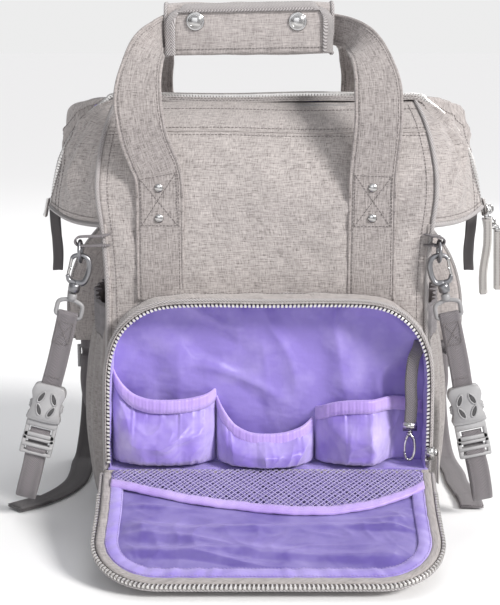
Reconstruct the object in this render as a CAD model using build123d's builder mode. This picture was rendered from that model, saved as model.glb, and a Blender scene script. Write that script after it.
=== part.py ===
"""Wide-mouth diaper backpack: hinged mouth frame, fold-down front pocket, grip
wrap with snaps, two clip-on stroller straps, padded shoulder straps.

+X viewer's right, -Y front, +Z up, millimetres.  Origin: centre of the base on
the surface the bag stands on.  Plane.XZ faces the front, so its offset(d) lies
at y = -d and a positive extrude runs forward.
"""
from build123d import *
from math import cos, hypot, pi, radians, sin
import os

os.makedirs("parts", exist_ok=True)

# ---------------------------------------------------------- shared dimensions
BODY_HALF_WIDTH = 160.0
BODY_HALF_DEPTH = 95.0
PANEL_THICKNESS = 4.0
PANEL_BOTTOM = 6.0
PANEL_TOP = 338.0            # where the panels end and the hinged yokes begin
LAYER_GAP = 0.3              # clearance between pieces laid against each other
ON_BODY = BODY_HALF_DEPTH + LAYER_GAP    # |y| of pieces laid on front or back

POCKET_HALF_WIDTH = 160.0    # front pocket and its fold-down front
POCKET_RADIUS = 62.0
POCKET_FRONT = 138.0         # distance of its front edge ahead of the origin

STRAP_Y = 106.0              # stroller straps hang this far ahead of the origin
RING_Z = 276.0

ENDS = (-1, 1)                           # left, right
SIDES = (("front", -1), ("back", 1))     # name, sign of y


def save(name, builder):
    """Label the finished piece and write its STEP file."""
    piece = builder.part
    piece.label = name
    export_step(piece, f"parts/{name}.step")


def ribbon(points, width):
    """Band of the given width along an open polyline, mitred at its corners."""
    normals = []
    for (x0, y0), (x1, y1) in zip(points, points[1:]):
        length = hypot(x1 - x0, y1 - y0)
        normals.append((-(y1 - y0) / length, (x1 - x0) / length))
    left, right = [], []
    for i, (x, y) in enumerate(points):
        touching = normals[max(i - 1, 0):i + 1]
        across_x = sum(normal[0] for normal in touching)
        across_y = sum(normal[1] for normal in touching)
        length = hypot(across_x, across_y)
        across_x, across_y = across_x / length, across_y / length
        # the cosine is held at 0.35 or more so that sharp corners stay short
        cosine = across_x * touching[0][0] + across_y * touching[0][1]
        reach = width / 2 / max(0.35, cosine)
        left.append((x + across_x * reach, y + across_y * reach))
        right.append((x - across_x * reach, y - across_y * reach))
    return Polygon(*left, *right[::-1], align=None)


# ======================================================================= body
BASE_THICKNESS = 5

with BuildPart() as base_panel:
    with BuildSketch(Plane.XY):
        RectangleRounded(2 * BODY_HALF_WIDTH, 2 * BODY_HALF_DEPTH, 14)
    extrude(amount=BASE_THICKNESS)
    fillet(base_panel.faces().sort_by(Axis.Z)[0].edges(), 2.5)
save("base_panel", base_panel)

# one board on the base, one inside the back panel
STIFFENER_THICKNESS = 3
BASE_BOARD_INSET = 11

with BuildPart() as stiffeners:
    with BuildSketch(Plane.XY.offset(BASE_THICKNESS + 0.5)):
        RectangleRounded(2 * (BODY_HALF_WIDTH - BASE_BOARD_INSET),
                         2 * (BODY_HALF_DEPTH - BASE_BOARD_INSET), 10)
    extrude(amount=STIFFENER_THICKNESS)
    with BuildSketch(Plane.XZ.offset(-(BODY_HALF_DEPTH - PANEL_THICKNESS - LAYER_GAP))):
        with Locations((0, 160)):
            RectangleRounded(288, 280, 18)
    extrude(amount=STIFFENER_THICKNESS)
save("stiffeners", stiffeners)

# front and back panels, leaning inward above the bend
PANEL_BEND_Z = 318
PANEL_LEAN = 5

for name, side in SIDES:
    panel_y = BODY_HALF_DEPTH - PANEL_THICKNESS / 2
    with BuildPart() as panel:
        with BuildSketch(Plane.YZ.offset(-BODY_HALF_WIDTH)):
            ribbon([(side * panel_y, PANEL_BOTTOM), (side * panel_y, PANEL_BEND_Z),
                    (side * (panel_y - PANEL_LEAN), PANEL_TOP)], PANEL_THICKNESS)
        extrude(amount=2 * BODY_HALF_WIDTH)
    save(name + "_panel", panel)

with BuildPart() as back_pads:
    with BuildSketch(Plane.XZ.offset(-ON_BODY)):
        with Locations((-62, 170), (62, 170)):
            RectangleRounded(104, 236, 26)
    extrude(amount=-6)
    fillet(back_pads.faces().group_by(Axis.Y)[-1].edges(), 3)
save("back_pads", back_pads)

# side gussets, dipped in the middle of the top edge
SIDE_TOP = 306.0
SIDE_HALF_DEPTH = 90.4

with BuildPart() as side_panels:
    for end in ENDS:
        with BuildSketch(Plane.YZ.offset(end * (BODY_HALF_WIDTH - PANEL_THICKNESS))):
            with BuildLine():
                Polyline((-SIDE_HALF_DEPTH, PANEL_BOTTOM), (SIDE_HALF_DEPTH, PANEL_BOTTOM),
                         (SIDE_HALF_DEPTH, SIDE_TOP), (36, SIDE_TOP - 14),
                         (0, SIDE_TOP - 26), (-36, SIDE_TOP - 14),
                         (-SIDE_HALF_DEPTH, SIDE_TOP), (-SIDE_HALF_DEPTH, PANEL_BOTTOM))
            make_face()
        extrude(amount=end * PANEL_THICKNESS)
save("side_panels", side_panels)

LINING_HALF_WIDTH, LINING_HALF_DEPTH = 154, 85
LINING_THICKNESS = 1
LINING_Z = 9
# (x, y) plan of the pocket standing off the back wall of the lining
INNER_POCKET = [
    (-120, 82.6), (-116, 74), (116, 74), (120, 82.6), (118.8, 82.8),
    (115, 75.2), (-115, 75.2), (-118.8, 82.8), (-120, 82.6),
]

with BuildPart() as main_lining:
    with BuildSketch(Plane.XY.offset(LINING_Z)):
        Rectangle(2 * LINING_HALF_WIDTH, 2 * LINING_HALF_DEPTH)
    extrude(amount=LINING_THICKNESS)
    with BuildSketch(Plane.XY.offset(LINING_Z + LINING_THICKNESS)):
        Rectangle(2 * LINING_HALF_WIDTH, 2 * LINING_HALF_DEPTH)
        Rectangle(2 * (LINING_HALF_WIDTH - LINING_THICKNESS),
                  2 * (LINING_HALF_DEPTH - LINING_THICKNESS), mode=Mode.SUBTRACT)
    extrude(amount=268)
    with BuildSketch(Plane.XY.offset(70)):
        with BuildLine():
            Polyline(*INNER_POCKET)
        make_face()
    extrude(amount=120)
save("main_lining", main_lining)

# --------------------------------------------------------------- side pockets
SIDE_POCKET_X = 184.0        # outer face
SIDE_POCKET_BOTTOM, SIDE_POCKET_TOP = 8, 215.0
SIDE_POCKET_ROOT = BODY_HALF_WIDTH + 0.4

# half outlines as (x, y), from the body out to the outer face
WALL_OUTER = [(SIDE_POCKET_ROOT, 86), (176, 84),
              (SIDE_POCKET_X - 2, 60), (SIDE_POCKET_X, 30)]
WALL_INNER = [(SIDE_POCKET_ROOT, 84), (174.8, 82),
              (SIDE_POCKET_X - 4, 59), (SIDE_POCKET_X - 2, 29)]
FLOOR_OUTER = [(SIDE_POCKET_ROOT, 85), (175, 83),
               (SIDE_POCKET_X - 3, 60), (SIDE_POCKET_X - 1, 30)]
HEM_OUTER = [(SIDE_POCKET_ROOT, 86.5), (176.3, 84.5),
             (SIDE_POCKET_X - 1.6, 60.3), (SIDE_POCKET_X + 0.6, 30)]
HEM_INNER = [(SIDE_POCKET_ROOT, 83.5), (174.4, 81.6),
             (SIDE_POCKET_X - 4.4, 58.8), (SIDE_POCKET_X - 2.6, 29)]
# outer half, inner half, bottom z, height
SIDE_POCKET_LAYERS = (
    (WALL_OUTER, WALL_INNER, SIDE_POCKET_BOTTOM, SIDE_POCKET_TOP - SIDE_POCKET_BOTTOM),
    (FLOOR_OUTER, [], SIDE_POCKET_BOTTOM, 2),
    (HEM_OUTER, HEM_INNER, SIDE_POCKET_TOP + LAYER_GAP, 8),
)


def side_pocket_outline(end, outer, inner):
    """Closed plan: along the outer half outlines, then back along the inner ones."""
    points = [(x, -y) for x, y in outer] + outer[::-1]
    points += inner + [(x, -y) for x, y in inner[::-1]]
    return [(end * x, y) for x, y in points + points[:1]]


with BuildPart() as side_pockets:
    for outer, inner, bottom, height in SIDE_POCKET_LAYERS:
        for end in ENDS:
            with BuildSketch(Plane.XY.offset(bottom)):
                with BuildLine():
                    Polyline(*side_pocket_outline(end, outer, inner))
                make_face()
            extrude(amount=height)
save("side_pockets", side_pockets)

# =========================================================== handles and grip
HANDLE_X0, HANDLE_X1 = 80.0, 128.0   # inner and outer edge of the webbing
HANDLE_THICKNESS = 3.0
GRIP_Z = 488                 # mid height of the grip and of the bars inside it
BAR_Y = 6.5                  # |y| of the bar face nearer the middle
RELIEF_X = 91

# (distance from the middle plane, z) up one handle
HANDLE_LINE = [(96.8, 232), (96.8, 345), (101.5, 372), (102.5, 400),
               (95, 430), (74, 457), (44, 473), (9, 480)]
# sign of y -> (centre y, centre z), (width, depth, height) of the cut
RELIEFS = {-1: ((-39, 473), (24, 82, 58)),
           1: ((30, 480), (24, 64, 44))}

for name, side in SIDES:
    with BuildPart() as handle:
        for end in ENDS:
            with BuildSketch(Plane.YZ.offset(end * HANDLE_X0)):
                ribbon([(side * y, z) for y, z in HANDLE_LINE], HANDLE_THICKNESS)
            extrude(amount=end * (HANDLE_X1 - HANDLE_X0))
        # turned-in inner edges leave room for the grip flap to swing down
        (relief_y, relief_z), relief_size = RELIEFS[side]
        for end in ENDS:
            with Locations((end * RELIEF_X, relief_y, relief_z)):
                Box(*relief_size, mode=Mode.SUBTRACT)
        with BuildSketch(Plane.XZ.offset(-side * BAR_Y)):
            with Locations((0, GRIP_Z)):
                RectangleRounded(2 * HANDLE_X1, 38, 12)
        extrude(amount=-side * HANDLE_THICKNESS)
        if name == "back":
            # stops above the shoulder strap anchors
            with Locations((0, 97, 254)):
                Box(400, 12, 155, mode=Mode.SUBTRACT)
    save("handle_" + name, handle)

RIVET_X = 103
RIVET_Y = 98.4
RIVET_PLACES = ((-1, 305), (-1, 333), (1, 339))      # sign of y, z

with BuildPart() as handle_rivets:
    for end in ENDS:
        for side, rivet_z in RIVET_PLACES:
            with BuildSketch(Plane.XZ.offset(-side * RIVET_Y)):
                with Locations((end * RIVET_X, rivet_z)):
                    Circle(4.3)
            extrude(amount=-side * 1.8, taper=20)
save("handle_rivets", handle_rivets)

GRIP_X0, GRIP_X1 = -100.0, 68.0
GRIP_LENGTH = GRIP_X1 - GRIP_X0
CORE_INSET = 3

with BuildPart() as grip_core:
    with BuildSketch(Plane.YZ.offset(GRIP_X0 + CORE_INSET)):
        with Locations((0, GRIP_Z)):
            RectangleRounded(11, 36, 4)
    extrude(amount=GRIP_LENGTH - 2 * CORE_INSET)
save("grip_core", grip_core)

# (y, z) around the section: under, up the back, over and down the front
WRAP_LINE = [(-16, 463.5), (14, 463.5), (20, 470), (20, 505),
             (14, 511.5), (-12, 511.5), (-17, 507), (-17, 482)]

with BuildPart() as grip_wrap:
    with BuildSketch(Plane.YZ.offset(GRIP_X0)):
        ribbon(WRAP_LINE, 3)
    extrude(amount=GRIP_LENGTH)
save("grip_wrap", grip_wrap)

SNAP_XS = (-72, 31)
SNAP_Z = 495

with BuildPart() as snap_studs:
    for x in SNAP_XS:
        with BuildSketch(Plane.XZ.offset(18.8)):
            with Locations((x, SNAP_Z)):
                Circle(4.5)
        extrude(amount=1.4)
save("snap_studs", snap_studs)

with BuildPart() as grip_flap:
    with BuildSketch(Plane.XZ.offset(20.6)):
        with Locations(((GRIP_X0 + GRIP_X1) / 2, GRIP_Z)):
            RectangleRounded(GRIP_LENGTH, 52, 10)
    extrude(amount=3)
save("grip_flap", grip_flap)

with BuildPart() as snap_caps:
    for x in SNAP_XS:
        with BuildSketch(Plane.XZ.offset(23.8)):
            with Locations((x, SNAP_Z)):
                Circle(9)
        extrude(amount=3, taper=35)
save("snap_caps", snap_caps)

# ===================================================== front organiser pocket
POCKET_BOTTOM, POCKET_TOP = 63.0, 230.0
ZIP_BOTTOM = 75              # lower ends of the zip on the pocket edge
ZIP_DEPTH = 6


def pocket_arch(bottom):
    """Lines of the pocket's front view, both upper corners rounded (in a BuildLine)."""
    edge = POCKET_HALF_WIDTH
    flat = edge - POCKET_RADIUS
    spring = POCKET_TOP - POCKET_RADIUS
    Polyline((-edge, bottom), (edge, bottom), (edge, spring))
    RadiusArc((edge, spring), (flat, POCKET_TOP), -POCKET_RADIUS)
    Line((flat, POCKET_TOP), (-flat, POCKET_TOP))
    RadiusArc((-flat, POCKET_TOP), (-edge, spring), -POCKET_RADIUS)
    Line((-edge, spring), (-edge, bottom))


with BuildPart() as pocket_gusset:
    with BuildSketch(Plane.XZ.offset(ON_BODY)):
        with BuildLine():
            pocket_arch(POCKET_BOTTOM)
        make_face()
        offset(amount=-3, mode=Mode.SUBTRACT)
    extrude(amount=POCKET_FRONT - ON_BODY - ZIP_DEPTH - 0.4)
save("pocket_gusset", pocket_gusset)

with BuildPart() as pocket_zip:
    with BuildSketch(Plane.XZ.offset(POCKET_FRONT - ZIP_DEPTH)):
        with BuildLine():
            pocket_arch(ZIP_BOTTOM)
        make_face()
        offset(amount=-2, mode=Mode.SUBTRACT)
        # opens the outline along the bottom
        with Locations((0, ZIP_BOTTOM)):
            Rectangle(2 * POCKET_HALF_WIDTH + 2, 6, mode=Mode.SUBTRACT)
    extrude(amount=ZIP_DEPTH)
save("pocket_zip", pocket_zip)

BACKING_WIDTH = 308

with BuildPart() as pocket_backing:
    with BuildSketch(Plane.XZ.offset(BODY_HALF_DEPTH + 0.4)):
        with Locations((0, 146.5)):
            RectangleRounded(BACKING_WIDTH, 155, 54)
        with Locations((0, 98)):
            RectangleRounded(BACKING_WIDTH, 58, 3)
    extrude(amount=1)
save("pocket_backing", pocket_backing)

# three gathered pockets: left x, right x, mouth z, bulge
ORGANISER = [(-152, -52, 148, 17), (-49, 45, 122, 18), (48, 152, 124, 17)]
ORGANISER_Y = -98
ORGANISER_BOTTOM = 69


def bow(x0, x1, bulge):
    """Plan line between x0 and x1, bulging forward."""
    steps = 10
    return [(x0 + (x1 - x0) * i / steps, ORGANISER_Y - bulge * sin(pi * i / steps) ** 0.6)
            for i in range(steps + 1)]


with BuildPart() as organizer_pockets:
    for x0, x1, top, bulge in ORGANISER:
        with BuildSketch(Plane.XY.offset(ORGANISER_BOTTOM)):
            ribbon(bow(x0, x1, bulge), 1.4)
        extrude(amount=top - ORGANISER_BOTTOM)
    # thicker hems round the mouths
    for x0, x1, top, bulge in ORGANISER:
        with BuildSketch(Plane.XY.offset(top + LAYER_GAP)):
            ribbon(bow(x0, x1, bulge), 2.4)
        extrude(amount=9)
save("organizer_pockets", organizer_pockets)

# ============================================== strap rings at the side seams
# name, sign of x, ring x, outward tilt of the strap in degrees
STROLLER_STRAPS = (("left", -1, -181.0, 14.5), ("right", 1, 167.0, 12.1))
LOOP_Z = 285.4

with BuildPart() as side_loops:
    for _, end, ring_x, _ in STROLLER_STRAPS:
        root_x = end * (BODY_HALF_WIDTH + 0.5)
        tip_x = ring_x + end * 5
        with BuildSketch(Plane.XZ.offset(STRAP_Y - 4)):
            ribbon([(root_x, LOOP_Z - 4), (tip_x, LOOP_Z - 4),
                    (tip_x, LOOP_Z + 4), (root_x, LOOP_Z + 4)], 1.4)
        extrude(amount=8)
        with Locations((end * (BODY_HALF_WIDTH + 1.6), -99, LOOP_Z)):
            Box(2.2, 14, 10)
save("side_loops", side_loops)

RING_RADIUS = 10

with BuildPart() as side_rings:
    for _, _, ring_x, _ in STROLLER_STRAPS:
        with BuildSketch(Plane.XZ.offset(STRAP_Y)):
            with Locations((ring_x, RING_Z + RING_RADIUS)):
                Circle(1.8)
        revolve(axis=Axis((ring_x, -STRAP_Y, RING_Z), (1, 0, 0)))
save("side_rings", side_rings)

# ============================================================ shoulder straps
# (distance from the middle, z) down the padded strap and the webbing below it
SHOULDER_LINE = [(48, 322), (78, 308), (118, 288), (156, 262),
                 (184, 230), (196, 196), (198, 160)]
WEBBING_LINE = [(198, 128), (199, 92), (194, 66), (180, 48), (164, 38)]

with BuildPart() as shoulder_straps:
    for end in ENDS:
        with BuildSketch(Plane.XZ.offset(-104)):
            ribbon([(end * x, z) for x, z in SHOULDER_LINE], 52)
        extrude(amount=-11)
    fillet(shoulder_straps.edges().filter_by(Plane.XZ), 3)
save("shoulder_straps", shoulder_straps)

with BuildPart() as shoulder_webbing:
    for end in ENDS:
        with BuildSketch(Plane.XZ.offset(-107)):
            ribbon([(end * x, z) for x, z in WEBBING_LINE], 25)
        extrude(amount=-2)
        # anchor block at the bottom corner
        with BuildSketch(Plane.XZ.offset(-ON_BODY)):
            with Locations((end * 148, 32)):
                RectangleRounded(34, 30, 2)
        extrude(amount=-13)
    # strip across the upper ends of the straps
    with BuildSketch(Plane.XZ.offset(-ON_BODY)):
        with Locations((0, 312)):
            RectangleRounded(210, 36, 4)
        with Locations((0, 292)):
            RectangleRounded(150, 20, 4, mode=Mode.SUBTRACT)
    extrude(amount=-3)
save("shoulder_webbing", shoulder_webbing)

LOCK_X, LOCK_Z = 198, 120
LOCK_SLOT_RISE = 6           # slots sit this far above and below the centre

with BuildPart() as ladder_locks:
    for end in ENDS:
        with BuildSketch(Plane.XZ.offset(-112)):
            with Locations((end * LOCK_X, LOCK_Z)):
                RectangleRounded(34, 26, 4)
            with Locations((end * LOCK_X, LOCK_Z + LOCK_SLOT_RISE),
                           (end * LOCK_X, LOCK_Z - LOCK_SLOT_RISE)):
                RectangleRounded(25, 5, 1.5, mode=Mode.SUBTRACT)
        extrude(amount=-5)
save("ladder_locks", ladder_locks)

# ========================================================== mouth (two jaws)
JAW_Y, JAW_Z = 80.0, 345.0   # mouth hinge lines (front -Y, back +Y)
KINK_Y, KINK_Z = 57.0, 391.0
BAND_HALF_WIDTH = 142.0      # yokes and top bands

# (distance from the middle plane, z) up the yoke, then over the top band
YOKE_LINE = [(JAW_Y + 1, JAW_Z), (JAW_Y - 6, JAW_Z + 20), (KINK_Y + 1, KINK_Z - 1)]
TOP_BAND_LINE = [(KINK_Y - 1, KINK_Z + 1), (40, 405), (22, 414), (9.6, 418.5)]

for name, side in SIDES:
    with BuildPart() as bands:
        for line in (YOKE_LINE, TOP_BAND_LINE):
            with BuildSketch(Plane.YZ.offset(-BAND_HALF_WIDTH)):
                ribbon([(side * y, z) for y, z in line], 2.4)
            extrude(amount=2 * BAND_HALF_WIDTH)
    save(name + "_yoke_bands", bands)

# spring-steel hoop that holds the mouth square when it opens
WIRE_RADIUS = 1.5
WIRE_HALF_WIDTH = BAND_HALF_WIDTH - 3
WIRE_Y, WIRE_Z = 14, 411

for name, side in SIDES:
    with BuildPart() as wire:
        with BuildSketch(Plane.YZ.offset(-WIRE_HALF_WIDTH)):
            with Locations((side * WIRE_Y, WIRE_Z)):
                Circle(WIRE_RADIUS)
        extrude(amount=2 * WIRE_HALF_WIDTH)
        for end in ENDS:
            corner = Vector(end * WIRE_HALF_WIDTH, side * WIRE_Y, WIRE_Z)
            foot = Vector(end * (WIRE_HALF_WIDTH - 2), side * 72, 356)
            with BuildSketch(Plane(origin=corner, z_dir=foot - corner)):
                Circle(WIRE_RADIUS)
            extrude(amount=(foot - corner).length)
            with Locations(corner):
                Sphere(WIRE_RADIUS)
    save(name + "_wire", wire)

# flat four-cornered wings reaching out and down beyond the bands
WING_X, WING_Z = 219.0, 309.0

for name, side in SIDES:
    with BuildPart() as wings:
        for end in ENDS:
            crown = Vector(end * 156, side * 12, 410)
            tip = Vector(end * (WING_X - 1), side * 13.2, WING_Z + 3)
            hinge = Vector(end * 163, side * 79, 346)
            kink = Vector(end * 148, side * 58, 390)
            wing_plane = Plane(origin=crown, x_dir=tip - crown,
                               z_dir=(tip - crown).cross(hinge - crown))
            corners = [wing_plane.to_local_coords(corner) for corner in (tip, hinge, kink)]
            with BuildSketch(wing_plane):
                Polygon((0, 0), *[(corner.X, corner.Y) for corner in corners], align=None)
            extrude(amount=1.2, both=True)
    save(name + "_wings", wings)

# ------------------------------------------------------------------- main zip
ZIP_Z = 420.0                # crown of the closed mouth
CHAIN_WIDTH = 2.6
# (distance from the middle, z) of the sloping runs down the wing edges
ZIP_SHOULDER, ZIP_SLOPE, ZIP_FOOT = (158, 414), (203.5, 347), (WING_X, WING_Z + 1)
ZIP_UPPER_RUN = [(145, ZIP_Z), ZIP_SHOULDER, ZIP_SLOPE]
ZIP_LOWER_RUN = [ZIP_SHOULDER, ZIP_SLOPE, ZIP_FOOT]

# straight tail of the closed zip beyond each wing tip: start and slope
TAIL_X, TAIL_Z = 226, 312
TAIL_RUN, TAIL_DROP = 0.2, 0.9798
TAIL_LENGTHS = {-1: 16, 1: 31}


def on_tail(end, along, out=0.0):
    """(x, z) at a distance down the zip tail and a distance outward from it."""
    return (end * (TAIL_X + TAIL_RUN * along + TAIL_DROP * out),
            TAIL_Z - TAIL_DROP * along + TAIL_RUN * out)


for name, side in SIDES:
    with BuildPart() as chain:
        for end in ENDS:
            with BuildSketch(Plane.XZ.offset(-side * 0.8)):
                ribbon([(end * x, z) for x, z in ZIP_UPPER_RUN], CHAIN_WIDTH)
            extrude(amount=-side * 9.8)
            with BuildSketch(Plane.XZ.offset(-side * 10.0)):
                ribbon([(end * x, z) for x, z in ZIP_LOWER_RUN], CHAIN_WIDTH)
            extrude(amount=-side * 1.6)
        with Locations((0, side * 4.4, ZIP_Z + 0.2)):
            Box(294, 7.2, CHAIN_WIDTH)
        if name == "front":
            # both closed tails belong to the front half
            for end in ENDS:
                with BuildSketch(Plane.XZ.offset(-3.2)):
                    ribbon([on_tail(end, 0), on_tail(end, TAIL_LENGTHS[end])], 1.8)
                extrude(amount=6.4)
    save("main_zip_" + name, chain)

with BuildPart() as zip_end_tabs:
    for end in ENDS:
        with BuildSketch(Plane.XZ.offset(1.0)):
            with Locations((end * 216, 268)):
                RectangleRounded(9, 50, 2)
        extrude(amount=2)
save("zip_end_tabs", zip_end_tabs)

# two sliders parked on the right-hand tail, each with a long pull:
# name, distance down the tail, pull's distance forward, its length, its shift in x
MAIN_SLIDERS = (("a", 9.0, 14.6, 92, -5.0), ("b", 23.0, 10.2, 74, 4.0))
SLIDER_HALF_LENGTH = 5.5
PIN_OUT = 6.2                # pull pin, outward from the tail

for name, along, pull_y, pull_length, pull_shift in MAIN_SLIDERS:
    upper, lower = along - SLIDER_HALF_LENGTH, along + SLIDER_HALF_LENGTH
    pin_x, pin_z = on_tail(1, along, PIN_OUT)

    with BuildPart() as slider:
        # edge walls on both sides of the chain
        with BuildSketch(Plane.XZ.offset(-5.0)):
            for out in (2.6, -2.6):
                ribbon([on_tail(1, upper, out), on_tail(1, lower, out)], 2.0)
        extrude(amount=10)
        # back and front plates
        for y in (-4.3, 4.3):
            with BuildSketch(Plane.XZ.offset(-y - 0.7)):
                ribbon([on_tail(1, upper), on_tail(1, lower)], 5.0)
            extrude(amount=1.4)
        # lug bored for the pull pin
        with BuildSketch(Plane.XZ.offset(-2.2)):
            ribbon([on_tail(1, along, 3.0), on_tail(1, along, 8.6)], 5.6)
            with Locations((pin_x, pin_z)):
                Circle(1.6, mode=Mode.SUBTRACT)
        extrude(amount=4.4)
    save("main_slider_" + name, slider)

    with BuildPart() as pull:
        with BuildSketch(Plane.XZ.offset(-4.0)):
            with Locations((pin_x, pin_z)):
                Circle(1.2)
        extrude(amount=4.0 + pull_y + 1.0)
        with BuildSketch(Plane.XZ.offset(pull_y)):
            with Locations((pin_x + pull_shift, pin_z - pull_length / 2 + 4)):
                RectangleRounded(8, pull_length, 3)
            with Locations((pin_x + pull_shift / 2, pin_z)):
                RectangleRounded(abs(pull_shift) + 6, 6, 2.4)
        extrude(amount=2.4)
    save("main_pull_" + name, pull)

# ============================================= fold-down front of the pocket
FLAP_Y, FLAP_Z = -140.0, 64.0    # hinge line
FLAP_LENGTH = 165.0
FLAP_DROOP = radians(19)         # below horizontal when it lies open
FLAP_THICKNESS = 3.0
DROOP_COS, DROOP_SIN = cos(FLAP_DROOP), sin(FLAP_DROOP)

# local x = X, local y = towards the bag; the flap reaches to y = -FLAP_LENGTH
flap_plane = Plane(origin=(0, FLAP_Y, FLAP_Z), x_dir=(1, 0, 0),
                   z_dir=(0, -DROOP_SIN, DROOP_COS))


def flap_face(inset, start, mode=Mode.ADD):
    """Flap outline from local y = start outward, its two outer corners rounded."""
    edge = POCKET_HALF_WIDTH - inset
    radius = POCKET_RADIUS - inset
    centre_y = -FLAP_LENGTH + inset + radius
    points = [(-edge, start), (edge, start)]
    for centre_x, start_angle in ((edge - radius, 0), (radius - edge, -90)):
        for i in range(13):
            angle = radians(start_angle - 90 * i / 12)
            points.append((centre_x + radius * cos(angle), centre_y + radius * sin(angle)))
    return Polygon(*points, align=None, mode=mode)


def on_flap(along, lift):
    """World (y, z) of a point at local y = along, lifted off the flap."""
    return (FLAP_Y + along * DROOP_COS - lift * DROOP_SIN,
            FLAP_Z + along * DROOP_SIN + lift * DROOP_COS)


with BuildPart() as flap_shell:
    with BuildSketch(flap_plane.offset(-FLAP_THICKNESS)):
        flap_face(inset=0, start=-4)
    extrude(amount=FLAP_THICKNESS)
save("flap_shell", flap_shell)

with BuildPart() as flap_lining:
    with BuildSketch(flap_plane.offset(0.2)):
        flap_face(inset=8, start=-8)
    extrude(amount=1)
save("flap_lining", flap_lining)

with BuildPart() as flap_zip:
    with BuildSketch(flap_plane.offset(0.2)):
        flap_face(inset=0, start=-32)
        flap_face(inset=6, start=-26, mode=Mode.SUBTRACT)
    extrude(amount=1.4)
save("flap_zip", flap_zip)

# (along, lift) sections of the mesh and of the hem at its mouth
MESH_LINE = [(-14, 1.9), (-16, 5.2), (-40, 5.8), (-52, 3.6)]
MESH_HEM_LINE = [(-53.4, 3.6), (-63, 3.6)]

with BuildPart() as mesh_pocket:
    for line, thickness, half_width in ((MESH_LINE, 0.8, 140), (MESH_HEM_LINE, 1.6, 141)):
        with BuildSketch(Plane.YZ.offset(-half_width)):
            ribbon([on_flap(along, lift) for along, lift in line], thickness)
        extrude(amount=2 * half_width)
save("mesh_pocket", mesh_pocket)

# ------------------------------- slider of the pocket zip, at its right end
SLIDER_X, SLIDER_Z = POCKET_HALF_WIDTH - 1, 82.0
LUG_Y = -POCKET_FRONT + 3

with BuildPart() as pocket_slider:
    with BuildSketch(Plane.XY.offset(SLIDER_Z - 6)):
        with Locations((SLIDER_X - 2.6, -POCKET_FRONT + 1.6),
                       (SLIDER_X + 2.6, -POCKET_FRONT + 1.6)):
            Rectangle(2.0, 6)
        with Locations((SLIDER_X, -POCKET_FRONT - 1.2)):
            Rectangle(7.2, 1.4)
    extrude(amount=12)
    with BuildSketch(Plane.YZ.offset(SLIDER_X + 3)):
        with Locations((LUG_Y, SLIDER_Z)):
            RectangleRounded(6, 7, 1.5)
            Circle(1.5, mode=Mode.SUBTRACT)
    extrude(amount=4.2)
save("pocket_slider", pocket_slider)

with BuildPart() as pocket_pull:
    with BuildSketch(Plane.YZ.offset(SLIDER_X + 3.8)):
        with Locations((LUG_Y, SLIDER_Z)):
            Circle(1.1)
    extrude(amount=6.0)
    with BuildSketch(Plane.YZ.offset(SLIDER_X + 7.6)):
        with Locations((LUG_Y, SLIDER_Z - 14)):
            RectangleRounded(7, 36, 2.6)
    extrude(amount=1.8)
save("pocket_pull", pocket_pull)

# ------------------------------------------------------------------ key leash
LEASH_X, LEASH_Y = 140.0, 126.0      # LEASH_Y is measured forward
LEASH_TOP, LEASH_END = 178.0, 106.0
TAPE_BOTTOM = LEASH_END + 4

with BuildPart() as key_leash:
    with BuildSketch(Plane.XZ.offset(LEASH_Y - 0.8)):
        with Locations((LEASH_X, (LEASH_TOP + TAPE_BOTTOM) / 2)):
            RectangleRounded(12, LEASH_TOP - TAPE_BOTTOM, 2)
    extrude(amount=1.6)
    with BuildSketch(Plane.XZ.offset(LEASH_Y - 2)):
        with Locations((LEASH_X, LEASH_END)):
            RectangleRounded(14, 7.6, 2)
        with Locations((LEASH_X, LEASH_END - 5.5)):
            Circle(2.0)
    extrude(amount=4)
save("key_leash", key_leash)

with BuildPart() as key_hook:
    with BuildSketch(Plane.XZ.offset(LEASH_Y - 1.6)):
        with Locations((LEASH_X, LEASH_END - 22)):
            SlotOverall(27, 11, rotation=90)
            SlotOverall(20.6, 5.2, rotation=90, mode=Mode.SUBTRACT)
    extrude(amount=3.2)
save("key_hook", key_hook)

# ==================================================== clip-on stroller straps
# Each strap hangs down local -y.  "face" looks forward with local x across the
# strap; "edge" looks along the width of the webbing, with local x running back.
WEB_WIDTH = 20.0
GATE_X, GATE_Y = 9, -6.5
WEB_TOP, WEB_BOTTOM = -58.2, -127.6
# (local x, local y) down the free end and up again behind it
TAIL_LINE = [(0, -202.6), (0, -236), (3, -246), (9, -251),
             (14, -246), (15, -236), (15, -196)]


def clip_hook(name, end, face):
    """Snap hook, open on its outer side for the gate, with a collar below."""
    with BuildPart() as hook:
        with BuildSketch(face.offset(-2.5)):
            with Locations((0, -7.5)):
                RectangleRounded(23, 31, 9)
                RectangleRounded(13, 21, 5, mode=Mode.SUBTRACT)
            with Locations((end * GATE_X, GATE_Y)):
                Rectangle(7, 17, mode=Mode.SUBTRACT)
        extrude(amount=5)
        with BuildSketch(face.offset(-3.5)):
            with Locations((0, -27)):
                RectangleRounded(13, 9, 2)
        extrude(amount=7)
    save(name + "_hook", hook)


def clip_gate(name, end, face):
    with BuildPart() as gate:
        with BuildSketch(face.offset(-1.8)):
            with Locations((end * GATE_X, GATE_Y)):
                RectangleRounded(2.8, 15.6, 1.2)
        extrude(amount=3.6)
    save(name + "_gate", gate)


def swivel_loop(name, face):
    with BuildPart() as swivel:
        with BuildSketch(face.offset(-2.2)):
            with Locations((0, -36)):
                RectangleRounded(9, 8, 2)
            with Locations((0, -48)):
                RectangleRounded(27, 19, 5)
                RectangleRounded(20.6, 11, 2.5, mode=Mode.SUBTRACT)
        extrude(amount=4.4)
    save(name + "_swivel_loop", swivel)


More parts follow.
